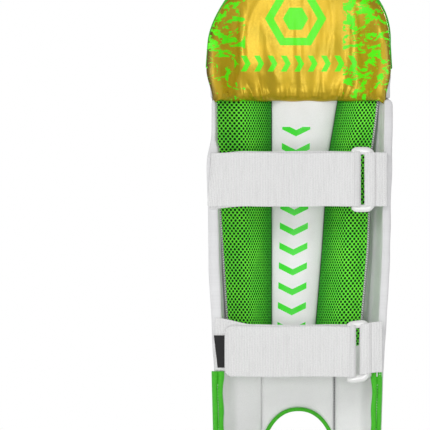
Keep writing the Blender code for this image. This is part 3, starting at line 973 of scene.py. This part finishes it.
class PAD_OT_wings(bpy.types.Operator):
    """Side wings, and the gussets between them beside the knee"""

    bl_idname = "pad.wings"
    bl_label = "Wings"

    def execute(self, context):
        for label, side in SIDES:
            side_wings(label, side)
        return {"FINISHED"}


def cushion_back_y(x, z):
    """Face that the knee cushion is sewn on: the board, and the knee wings' inner faces."""
    half = outline(z) - 0.010
    rear = knee_rear(max(z, KNEE_Z)) if z > 0.53 else lerp(-0.026, -0.022, ease(0.49, 0.53, z))
    turn = part_way(min(0.070, half * 0.6), half, abs(x)) ** 1.4
    drop = inner_y(half, z) - (rear - 0.002)
    over = lerp(0.0080, 0.0105, ease(0.030, 0.046, abs(x - 0.004)))
    over = over * ease(0.545, 0.492, z) * ease(0.112, 0.098, abs(x))
    return inner_y(x, z) - 0.0005 - drop * (1 - math.cos(math.pi * turn)) / 2 - over


def cushion_spot(u, v):
    """Place on the knee cushion as seen from the leg: u across, v up."""
    s = 2 * u - 1
    trim = 0.0012 if s < 0 else 0.0024
    low = HEM_Z - 0.0050 * ease(0.90, 1.0, abs(s)) + 0.0005 * math.sin(u * 37)
    hem_half, dome_base = 0.1135, 0.566
    z = lerp(low, dome_top(s * 0.117, 0.004), v)
    x = s * lerp(hem_half, outline(min(z, dome_base)) - trim, ease(0.494, 0.535, z))
    if z > dome_base:
        x = math.copysign(min(abs(x), outline(z) - trim), x) + side_lean(z)
    return x, z


def cushion_swell(u, v):
    return lerp(0.0035, shape().cushion_deep, crown(u, 3.2, 0.6) * crown(v, 5, 0.55))


# Soft folds of the knee cushion: place at the seam, lean, width and height.
SOFT_FOLDS = (
    (-0.056, -0.55, 0.0070, 0.0040), (-0.034, -0.25, 0.0060, 0.0044), (-0.008, 0.02, 0.0075, 0.0050),
    (0.020, 0.10, 0.0065, 0.0040), (0.050, 0.40, 0.0070, 0.0042), (0.088, 0.30, 0.0080, 0.0036),
    (-0.092, -0.25, 0.0080, 0.0036),
)


def pleats(x, z):
    """Gathers that fan up from the cushion's lower seam: sharp near it, soft and broad above."""
    rise = z - HEM_Z - 0.0004
    total = 0.0
    for index in range(19):
        home = lerp(-0.074, 0.072, index / 18) + 0.0026 * math.sin(index * 4.7)
        strong = max(ridge(home, -0.052, 0.020), 0.75 * ridge(home, 0.052, 0.014), 0.40)
        reach = 0.024 + 0.030 * abs(math.sin(index * 1.7)) * strong
        centre = home + rise * (home * 5.0 + 0.10 * math.sin(index * 2.3))
        width = 0.0021 + rise * 0.065
        total += strong ** 1.4 * 0.0064 * ease(reach, 0.0, rise) * math.exp(-abs(x - centre) / width)
    for home, lean_by, width, height in SOFT_FOLDS:
        centre = home + rise * lean_by
        total += 0.5 * height * ridge(x, centre, width + rise * 0.08) * ease(0.085, 0.012, rise)
    return total


class PAD_OT_knee_cushion(bpy.types.Operator):
    """Satin knee cushion, gathered into its lower seam"""

    bl_idname = "pad.knee_cushion"
    bl_label = "Knee cushion"

    def execute(self, context):
        tree = None
        coarse = sewn_pad(
            even(36), even(28), cushion_spot, cushion_back_y,
            lambda u, v, x, z: -0.8 * cushion_swell(u, v),
        )
        tree = puffed(coarse, lambda co: abs(co.y - cushion_back_y(co.x, co.z)) < 0.0030, 0.010)

        def deep(u, v, x, z):
            swell = cushion_swell(u, v)
            rim = min(ease(0.0, 0.05, u), ease(1.0, 0.95, u), ease(0.0, 0.05, v), ease(1.0, 0.95, v))
            depth = lerp(swell, skin_depth(tree, x, z, cushion_back_y(x, z), swell), 0.6 * rim)
            depth += 0.0011 * uneven(x * 14 + z * 9, 0.0, z * 17) * rim + pleats(x, z) * ease(0.0, 0.04, v)
            depth += 0.0005 * rim * ridge(uneven(x * 22 + 3.1, z * 8, 2.0), 0.0, 0.10)
            return -max(depth, 0.002)

        up = [*spaced(0, 0.30, 1 / 190), *spaced(0.30, 1, 1 / 90)[1:]]
        bm = sewn_pad(even(190), up, cushion_spot, cushion_back_y, deep)
        piece = add_piece("knee_cushion", bm, "gold_satin", None, ["knee_lining", "knee_lining_lip"])
        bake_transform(piece)
        return {"FINISHED"}


def bolster_x(side, u, z):
    if side < 0:
        return lerp(PANEL_LEFT, -between(BOLSTER_LEFT, z), u)
    return lerp(between(CENTRE_RIGHT, z), between(BOLSTER_RIGHT, z), u)


def bolster_profile(u):
    """Height of a bolster across: a long slope from the middle of the pad, a crest, then nearly flat."""
    if u < 0.55:
        return (1 - (1 - u / 0.55) ** 1.9) ** 0.78
    return 1 - 0.40 * ((u - 0.55) / 0.45) ** 2.0


def bolster_back_y(x, z):
    return inner_y(x, z) - 0.0006 - 0.010 * ease(0.082, 0.108, abs(x))


def mesh_holes(s, z):
    """1 in a hole of the air mesh and 0 on its net."""
    d = detail()
    nearest = 1.0
    for shift in (0.0, 0.5):
        a = ((s / d.hole_across + shift) % 1.0 - 0.5) * d.hole_across
        b = ((z / d.hole_up + shift) % 1.0 - 0.5) * d.hole_up
        nearest = min(nearest, math.hypot(a, b))
    return ease(0.0019, 0.0010, nearest)


def girth(side, columns):
    """Distance along a bolster's skin at each column, so the mesh pattern isn't stretched."""
    marks = [0.0]
    for first, second in zip(columns, columns[1:]):
        step = (second - first) * (bolster_x(side, 1, 0.33) - bolster_x(side, 0, 0.33))
        climb = shape().bolster_deep * (bolster_profile(second) - bolster_profile(first))
        marks.append(marks[-1] + math.hypot(step, climb) * lerp(1.7, 1.0, ease(0.38, 0.58, first)))
    return dict(zip(columns, marks))


def bolster(label, side):
    """One air-mesh bolster, with the overlocking along its outer edge and a grey cord outside it as painted
    shade of the gap to the wing.
    """
    low, high = BOLSTER_SPAN
    foot_reach, top_reach = 0.022, 0.030
    deep = shape().bolster_deep
    columns = even(66)
    along = girth(side, columns)

    def spot(u, z):
        return bolster_x(side, u, z), z

    def swell(u, z):
        near = min((z - low) / foot_reach, (high - z) / top_reach, 1.0)
        tip = math.sqrt(max(0.0, 1 - (1 - near) ** 2))
        return lerp(0.0018, deep, bolster_profile(u)) * lerp(0.20, 1.0, tip)

    tree = None
    coarse = sewn_pad(
        even(14), spaced(low, high, 0.006), spot, bolster_back_y, lambda u, v, x, z: -0.9 * swell(u, z))
    tree = puffed(coarse, lambda co: abs(co.y - bolster_back_y(co.x, co.z)) < 0.0032, 0.005, 0.0045)

    def pressed(u, v, x, z):
        depth = swell(u, z)
        rim = min(ease(0.0, 0.10, u), ease(1.0, 0.90, u), ease(low, low + 0.01, z))
        depth = lerp(depth, skin_depth(tree, x, z, bolster_back_y(x, z), depth), 0.7 * rim)
        depth += 0.0009 * rim * uneven(x * 25 + side, 0.0, z * 14)
        depth -= 0.0015 * mesh_holes(along[u], z) * rim
        return -max(depth, 0.0015)

    up = spaced(low, high, MESH_ROW)
    bm = sewn_pad(columns, up, spot, bolster_back_y, pressed, lambda u, z: (along[u], z))
    add_piece(f"bolster_{label}_mesh", bm, "green_air_mesh", SHIN, [f"bolster_{label}"])
    edge = []
    for z in spaced(low + 0.004, high - 0.006, 0.003):
        x = bolster_x(side, 1.0, z)
        edge.append((x + side * 0.0008, bolster_back_y(x, z) - 0.58 * deep, z))
    stitch_row(f"bolster_{label}_overlock", edge, SHIN, "thread_white", 0.0030, 0.0012, 1.0, 0.9)
    # Grey cord outside the overlock: painted shade in the gap between the bolster and the wing.
    shade_cord = tube([(x + side * 0.0012, y + 0.0012, z) for x, y, z in edge], 0.0012, sides=2)
    add_piece(f"bolster_{label}_cord", shade_cord, "thread_grey", SHIN)


class PAD_OT_bolsters(bpy.types.Operator):
    """Air-mesh bolsters beside the shin, with overlocked outer edges"""

    bl_idname = "pad.bolsters"
    bl_label = "Mesh bolsters"

    def execute(self, context):
        for label, side in SIDES:
            bolster(label, side)
        return {"FINISHED"}


def centre_panel():
    """Panel between the bolsters; its chart follows the row of chevrons."""

    def spot(u, z):
        return lerp(PANEL_LEFT, between(CENTRE_RIGHT, z), u), z

    def deep(u, v, x, z):
        return -(0.0025 + 0.0085 * crown(u, 2.4, 0.7) + 0.0006 * uneven(u * 5, 0.0, z * 30))

    def chart(u, z):
        return (spot(u, z)[0] - lerp(-0.0090, -0.0030, (z - 0.21) / 0.24), z)

    up = spaced(*PANEL_SPAN, 0.006)
    bm = sewn_pad(even(30), up, spot, lambda x, z: inner_y(x, z) - 0.0005, deep, chart)
    add_piece("centre_lining", bm, "printed_lining", SHIN, ["shin_lining"], 1)


def ankle_panel(place, left, right):
    """A panel from the arch up, which turns back along the wing at its outer side."""

    def limit(z):
        return outline(z) - 0.0125

    def back(x, z):
        half = limit(z)
        turn = part_way(0.078, half, abs(x)) ** 2.6
        return inner_y(x, z) - 0.0006 - (inner_y(half, z) - wing_rear(z) - 0.004) * turn

    def spot(u, v):
        x = lerp(left, right, u)
        z = lerp(arch(x) + 0.0006, ANKLE_TOP, v)
        return math.copysign(min(abs(x), limit(z)), x), z

    def deep(u, v, x, z):
        soft = crown(u, 4, 0.55)
        soft *= (1 - max(0.0, 1 - v / 0.12) ** 2) ** 0.5 * 0.9 + 0.1
        depth = lerp(0.0035, 0.0085, soft)
        depth -= 0.0011 * ridge(x, -0.0145, 0.0035) * ease(0.75, 1.0, v)
        return -(depth + 0.0009 * uneven(x * 30, 1.0, z * 20))

    bm = sewn_pad(even(max(24, round((right - left) / 0.0024))), even(42), spot, back, deep)
    add_piece(f"ankle_{place}_panel", bm, "lining_leather", SHIN, [f"ankle_lining_{place}"], 1)


class PAD_OT_lining(bpy.types.Operator):
    """White lining: the centre panel with its printed chevrons, and the ankle panels"""

    bl_idname = "pad.lining"
    bl_label = "White lining"

    def execute(self, context):
        centre_panel()
        ankle_panel("left", -0.1000, ANKLE_SEAMS[0])
        ankle_panel("centre", -0.0486, 0.0466)
        ankle_panel("right", 0.0482, 0.0985)
        return {"FINISHED"}


def arch_piping():
    """Cords round the arch: one at the lining, one at the front face."""
    shade_cord, rim = [], []
    for step in even(48):
        x = -ARCH_HALF * math.cos(math.pi * step)
        z = max(arch(x), 0.0032)
        shade_cord.append((x, inner_y(x, z) - 0.0085, z))
        rim.append((x, front_y(x, z) + 0.0060, z + 0.0002))
    add_piece("arch_piping_cord", tube(shade_cord, 0.0026), "binding_tape", SHIN, ["arch_piping"])
    add_piece("arch_front_piping", tube(rim, 0.0020), "binding_tape", SHIN)


def top_binding():
    """Binding over the dome, with both ends down beside the knee wings."""
    s = shape()
    points = []
    for step in even(80):
        turn = math.pi * step
        side = -math.cos(turn)
        x = math.copysign(abs(side) ** (2 / DOME_POWER), side) * (s.dome_half - BINDING_INSET)
        z = s.dome_z + abs(math.sin(turn)) ** (2 / DOME_POWER) * (s.dome_rise - BINDING_INSET)
        points.append((x + side_lean(z), rim_y(x, z, 0.002), z))
    left, right = [], []
    for side, end in ((-1, left), (1, right)):
        for z in (0.535, 0.550):
            end.append((side * (outline(z) - BINDING_INSET), RIM_REAR, z))
    bm = tube([Vector(point) for point in (*left, *points, *right)], 0.0021)
    add_piece("top_binding_tape", bm, "binding_tape", KNEE, ["top_binding"])


def rim_facing():
    """Facing that reaches from the rolls and the knee wings to the binding round the top."""

    def spot(u, v):
        x = lerp(-0.1172, 0.1172, u)
        top = dome_top(x, 0.0030)
        return x, lerp(max(top - 0.034, 0.545), top, v)

    def face(u, v):
        x, z = spot(u, v)
        return (x + side_lean(z), max(rim_y(x, z, 0.0010), cushion_back_y(x, z) + 0.0006), z)

    bm = grid_pad(even(60), even(8), face, lambda u, v: (0.0, 0.0024, 0.0), spot)
    add_piece("top_rim_facing", bm, "white_leather", KNEE, ())


def ankle_binding(label, side):
    """Folded tape down the rear edge of a wing at the ankle, with its stitches."""

    def face(u, z):
        flare = 0.0022 * ease(0.118, 0.138, z) + 0.0006 * math.sin(z * 160)
        x = outline(z) - lerp(0.0150 + flare, 0.0004, u)
        return (side * x - 0.0026, wing_rear(z) - 0.0004 + 0.006 * ease(0.75, 1.0, u) ** 2, z)

    def lift(u, z):
        fold = crown(u * 2 % 1.0, 2.2, 0.6) if 0 < u < 1 else 0.0
        return (0.0, -(0.0008 + 0.0036 * fold + 0.0005 * uneven(u * 6, 0.0, z * 90)), 0.0)

    bm = grid_pad(even(26), spaced(0.0006, 0.1385, 0.004), face, lift)
    add_piece(f"ankle_binding_{label}_tape", bm, "binding_tape", SHIN, [f"ankle_binding_{label}"], 1)
    line = []
    for z in spaced(0.004, 0.122, 0.003):
        line.append((side * (outline(z) - 0.0081) - 0.0026, wing_rear(z) - 0.0024, z))
    stitch_row(f"ankle_binding_{label}_stitches", line, SHIN)


class PAD_OT_edges(bpy.types.Operator):
    """Green piping round the arch, binding over the top and binding down the ankle edges"""

    bl_idname = "pad.edges"
    bl_label = "Piping and bindings"

    def execute(self, context):
        arch_piping()
        top_binding()
        rim_facing()
        for label, side in SIDES:
            ankle_binding(label, side)
        return {"FINISHED"}


def strip_frames(path, step):
    """Even steps along a plan path: distance, point and normal to its left."""
    run = [Vector((*p, 0.0)) for p in path]
    lengths = [0.0]
    for first, second in zip(run, run[1:]):
        lengths.append(lengths[-1] + (second - first).length)
    count = max(4, round(lengths[-1] / step))
    frames = []
    for i in range(count + 1):
        s = lengths[-1] * i / count
        index = max(j for j in range(len(run) - 1) if lengths[j] <= s + 1e-9)
        part = (s - lengths[index]) / max(lengths[index + 1] - lengths[index], 1e-9)
        frames.append((s, run[index].lerp(run[index + 1], part)))
    result = []
    for i, (s, point) in enumerate(frames):
        ahead = frames[min(i + 1, count)][1] - frames[max(i - 1, 0)][1]
        result.append((s, point, Vector((-ahead.y, ahead.x, 0.0)).normalized()))
    return result


def webbing(name, path, low, high, body, node, corner=0.0, rise=0.0, slant=0.0, wave=0.0006):
    """Ribbed webbing on edge along a plan path: corner rounds its far end, rise lifts its near end."""
    pitch = detail().rib_pitch
    thick = shape().web_thick
    frames = strip_frames(path, pitch / 4)
    length = frames[-1][0]

    def skin(i, v):
        s, point, normal = frames[i]
        gap = length - s
        trim = corner - math.sqrt(max(0.0, corner ** 2 - (corner - gap) ** 2)) if gap < corner else 0.0
        z = lerp(low + trim, high - trim, v)
        z += 0.0004 * math.sin(s * 55 + low * 90) + rise * ease(0.05, 0.0, s)
        point = point + normal * wave * uneven(s * 18, v * 1.5, low * 40)
        shift = slant * (v - 0.5) * ease(length - 0.03, length, s)
        selvedge = ridge(v, 0.035, 0.02) + ridge(v, 0.965, 0.02)
        proud = 0.00007 * math.cos(s / pitch * math.tau) + 0.00035 * selvedge
        return Vector((point.x + shift, point.y, z)), normal * (thick / 2 + proud)

    def face(i, v):
        point, out = skin(i, v)
        return point - out

    edge = (0, 0.012, 0.024, 0.035, 0.047, 0.065)
    up = [*edge, *spaced(0.12, 0.88, 0.095), 0.935, 0.953, 0.965, 0.976, 0.988, 1]
    bm = grid_pad(
        range(len(frames)), up, face, lambda i, v: skin(i, v)[1] * 2,
        lambda i, v: (frames[i][0], lerp(low, high, v)),
    )
    add_piece(name, bm, "strap_webbing", body, [node])


def arc(centre, wide, deep, start, stop, count=18):
    turns = [math.radians(lerp(start, stop, share)) for share in even(count)]
    return [(centre[0] + wide * math.cos(turn), centre[1] + deep * math.sin(turn)) for turn in turns]


def strap(label):
    """A strap: its sewn part, its loose end, and the ring that it turns round."""
    lower = label == "lower"
    swivel, peel = (JOINTS[f"{label}_{joint}"]["pos_m"] for joint in ("ring_swivel", "strap_peel"))
    ring_low, ring_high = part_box(f"{label}_ring")
    flap_low, flap_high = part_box(f"{label}_strap_flap")
    low, high = flap_low[2], flap_high[2]
    bar_x, bar_y = ring_low[0] + 0.0035, swivel[1]
    wrap = bar_y - peel[1]
    front, back = bar_y + wrap, bar_y - wrap
    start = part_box(f"{label}_strap_base")[0][0] + 0.0005
    turn = arc((bar_x, bar_y), wrap + 0.0014, wrap, 90, -93)
    sewn = [(start, front), (bar_x - 0.018, front), *turn]
    webbing(f"{label}_strap_sewn_part", sewn, low, high + 0.002, SHIN, f"{label}_strap_base",
            rise=0.009 if lower else -0.0035)

    lie = flap_high[1] - 0.0009
    drape = [(peel[0] + 0.0009, back - 0.0002), (bar_x - 0.012, back + 0.0014), (bar_x - 0.030, lie - 0.0026),
             (bar_x - 0.055, lie - 0.0006), (bar_x - 0.085, lie), (flap_low[0] + 0.0015, lie)]
    drape = [(p.x, p.y) for p in catmull([(x, y, 0.0) for x, y in drape], 0.004)]
    webbing(f"{label}_strap_loose_end", drape, low, high, f"{label}_strap_end", f"{label}_strap_flap",
            corner=0.010 if lower else 0.002, slant=0.0 if lower else 0.005)
    first, last = (Vector((flap_low[0] + 0.004, lie - 0.0011, z)) for z in (low + 0.005, high - 0.005))
    line = [first.lerp(last, share) for share in even(30)]
    stitch_row(f"{label}_end_stitches", line, f"{label}_strap_end", pitch=0.0028, thick=0.0004)
    ring(label, ring_low, ring_high, (bar_x, bar_y), 0.5 * (high - low) + 0.0015, 0.13 if lower else 0.0)
    ring_loop(label, swivel[0], bar_y, low, high, 0.0065 if lower else 0.0)


def ring_loop(label, loop_x, bar_y, low, high, rise):
    """The webbing loop that holds a ring, and its two rows of stitches."""
    end_x, tab_y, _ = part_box(f"{label}_ring_tab")[1]
    radius = tab_y - 0.0008 - bar_y
    near = bar_y - radius * 0.45
    path = [(end_x, near), (loop_x + 0.0070, near - 0.0006), (loop_x + 0.0050, near + 0.0003),
            (loop_x + 0.0035, bar_y - radius * 0.80), *arc((loop_x, bar_y), 0.0090, radius, 280, 90),
            (loop_x + 0.008, bar_y + radius), (end_x, bar_y + radius)]
    webbing(f"{label}_ring_loop", path, low, high, SHIN, f"{label}_ring_tab", rise=rise, wave=0.0002)
    for place, x in (("inner", loop_x + 0.0050), ("outer", end_x - 0.003)):
        line = [(x, near - 0.0010, z) for z in spaced(low + 0.002, high - 0.002, 0.003)]
        stitch_row(f"{label}_loop_stitches_{place}", line, SHIN, pitch=0.0030)


def ring(label, low, high, bar, strap_half, slope):
    """Moulded ring: two slim bars with broad rounded caps above and below the strap."""
    cap, bar_radius, corner = 0.0050, 0.0034, 0.0075
    middle, y = 0.5 * (low[2] + high[2]), bar[1]
    left, right = low[0] - 0.0003, high[0] - 0.0035
    bottom, top = low[2] + cap, high[2] - cap
    points = []
    for x, z, start in ((right, top, 0), (left, top, 90), (left, bottom, 180), (right, bottom, 270)):
        centre_x = left + corner if x == left else right - corner
        centre_z = bottom + corner if z == bottom else top - corner
        turned = arc((centre_x, centre_z), corner, corner, start, start + 90, 9)
        points += [Vector((px, y, pz)) for px, pz in turned]
    radii = [lerp(bar_radius, cap, ease(0.014, 0.004, min(top - p.z, p.z - bottom))) for p in points]
    run, widths = [], []
    for first, second, a, b in zip(points, [*points[1:], points[0]], radii, [*radii[1:], radii[0]]):
        for share in even(max(1, round((second - first).length / 0.004)))[:-1]:
            run.append(first.lerp(second, share))
            widths.append(lerp(a, b, share))
    for point in run:
        if abs(point.z - middle) < strap_half and point.x < bar[0]:
            point.x = bar[0]
        point.z += slope * (point.x - 0.5 * (left + right))
    bm = tube(run, 1.0, True, 0.56, 4, widths)
    add_piece(f"{label}_ring_moulding", bm, "ring_plastic", f"{label}_ring", [f"{label}_ring"])


def hook_tape(label, slant):
    low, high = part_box(f"{label}_hook_patch")

    def face(u, v):
        x = lerp(low[0], high[0], u) + slant * (0.5 - v)
        return (x, 0.5 * (low[1] + high[1]), lerp(low[2], high[2], v))

    def lift(u, v):
        return (0.0, -HOOK_PROUD - 0.00025 * uneven(u * 90, v * 80, 0.5), 0.0)

    bm = grid_pad(even(60), even(50), face, lift)
    add_piece(f"{label}_hook_tape", bm, "hook_tape", SHIN, [f"{label}_hook_patch"])


class PAD_OT_straps(bpy.types.Operator):
    """Webbing straps, their rings and loops, and the hook tape"""

    bl_idname = "pad.straps"
    bl_label = "Straps and rings"

    def execute(self, context):
        for label, slant in (("upper", 0.0), ("lower", 0.005)):
            strap(label)
            hook_tape(label, slant)
        return {"FINISHED"}


class PAD_OT_seams(bpy.types.Operator):
    """Stitch rows between the rolls and between the ankle panels"""

    bl_idname = "pad.seams"
    bl_label = "Seams and stitches"

    def execute(self, context):
        sides = roll_sides()
        for index, (one, other) in enumerate(zip(sides, sides[1:]), 1):
            x = 0.5 * (one[1] + other[0])
            top = dome_top(x, 0.012)
            for name, body, low, high in (("roll", SHIN, 0.196, 0.466), ("top", KNEE, 0.574, top)):
                line = [(x, front_y(x, z) + 0.0030, z) for z in spaced(low, high, 0.004)]
                stitch_row(f"{name}_seam_{index}", line, body, "thread_grey", SEAM_STITCH)
        # The right ankle seam's grey thread is stitching and also painted shade of the gap between its
        # panels; the left seam's thread is white.
        for (label, _), x, look in zip(SIDES, ANKLE_SEAMS, ("thread_white", "thread_grey")):
            line = [(x, inner_y(x, z) - 0.0038, z) for z in spaced(arch(x) + 0.004, 0.184, 0.004)]
            stitch_row(f"ankle_seam_{label}", line, SHIN, look)
        return {"FINISHED"}


class PAD_OT_boards(bpy.types.Operator):
    """Finish of the boards and the canes inside"""

    bl_idname = "pad.boards"
    bl_label = "Boards and canes"

    def execute(self, context):
        board = plain("backing_board", (0.62, 0.62, 0.63), 0.6, 300.0, 0.0003)
        cane = plain("split_cane", (0.55, 0.36, 0.15), 0.5, 240.0, 0.0003, spread=0.7)
        canes = [f"cane_rod_{i}" for i in range(1, 6)]
        for node in ("shin_backing", "knee_backing", *canes):
            for slot in frame["nodes"][node].material_slots:
                slot.material = cane if node in canes else board
        return {"FINISHED"}


def soft_room():
    """White where the camera looks past the pad, and lit mostly from both sides."""
    world = bpy.data.worlds.new("soft_room")
    world.use_nodes = True
    nodes = world.node_tree.nodes
    seen = nodes.new("ShaderNodeLightPath").outputs["Is Camera Ray"]
    across = axes(nodes.new("ShaderNodeTexCoord").outputs["Generated"])["X"]
    sides = ramp(calc("ABSOLUTE", across), 0.22, 0.75, 0.28, 0.72)
    lit = calc("MULTIPLY", sides, calc("SUBTRACT", 1.0, seen))
    plug(nodes["Background"], {"Color": (1.0, 1.0, 1.0, 1.0), "Strength": calc("ADD", lit, seen)})
    return world


class PAD_OT_stage(bpy.types.Operator):
    """Pale floor, soft lights and the camera"""

    bl_idname = "pad.stage"
    bl_label = "Stage"

    def execute(self, context):
        bm = bmesh.new()
        bmesh.ops.create_grid(bm, x_segments=1, y_segments=1, size=1.35)
        floor = place_mesh("floor", bm)
        floor.data.materials.append(floor_paint("pale_floor"))
        context.scene.world = soft_room()
        self.light("key", (-1.5, -1.8, 1.3), 0.7, 16)
        self.light("fill", (0.15, -2.9, 0.20), 1.0, 28)
        self.light("front_wash", (1.1, 2.2, 1.2), 1.1, 36)
        context.scene.view_settings.view_transform = "Standard"

        camera = bpy.data.cameras.new("camera")
        camera.sensor_width = 36.0
        reach, view_height = 6.0, 0.5633
        camera.lens = camera.sensor_width * reach / view_height
        holder = bpy.data.objects.new("camera", camera)
        holder.location = (-0.110, -reach - 0.02, 0.3418)
        holder.rotation_euler = (math.pi / 2, 0.0, 0.0)
        context.scene.collection.objects.link(holder)
        context.scene.camera = holder
        return {"FINISHED"}

    def light(self, name, place, size, power):
        data = bpy.data.lights.new(name, "AREA")
        data.size = size
        data.energy = power
        holder = bpy.data.objects.new(name, data)
        holder.location = place
        aim = Vector((0.0, 0.0, 0.35)) - Vector(place)
        holder.rotation_euler = aim.to_track_quat("-Z", "Y").to_euler()
        bpy.context.scene.collection.objects.link(holder)


OPERATORS = (
    PAD_OT_stage, PAD_OT_front_rolls, PAD_OT_instep, PAD_OT_wings, PAD_OT_knee_cushion, PAD_OT_bolsters,
    PAD_OT_lining, PAD_OT_edges, PAD_OT_straps, PAD_OT_seams, PAD_OT_boards,
)


class PAD_PT_panel(bpy.types.Panel):
    """Lists the pad's pieces in the sidebar"""

    bl_label = "Leg pad"
    bl_idname = "PAD_PT_panel"
    bl_space_type = "VIEW_3D"
    bl_region_type = "UI"
    bl_category = "Leg pad"

    def draw(self, context):
        for operator in OPERATORS:
            self.layout.operator(operator.bl_idname)
        for settings in (context.scene.pad_shape, context.scene.pad_detail, context.scene.pad_colour):
            for name in settings.__annotations__:
                self.layout.prop(settings, name)


CLASSES = (PadShapeSettings, PadDetailSettings, PadColourSettings, *OPERATORS, PAD_PT_panel)


def register():
    for item in CLASSES:
        bpy.utils.register_class(item)
    bpy.types.Scene.pad_shape = bpy.props.PointerProperty(type=PadShapeSettings)
    bpy.types.Scene.pad_detail = bpy.props.PointerProperty(type=PadDetailSettings)
    bpy.types.Scene.pad_colour = bpy.props.PointerProperty(type=PadColourSettings)


def unregister():
    del bpy.types.Scene.pad_shape
    del bpy.types.Scene.pad_detail
    del bpy.types.Scene.pad_colour
    for item in reversed(CLASSES):
        bpy.utils.unregister_class(item)


def main():
    register()
    for operator in OPERATORS:
        group_name, call = operator.bl_idname.split(".")
        getattr(getattr(bpy.ops, group_name), call)()


if __name__ == "__main__":
    main()
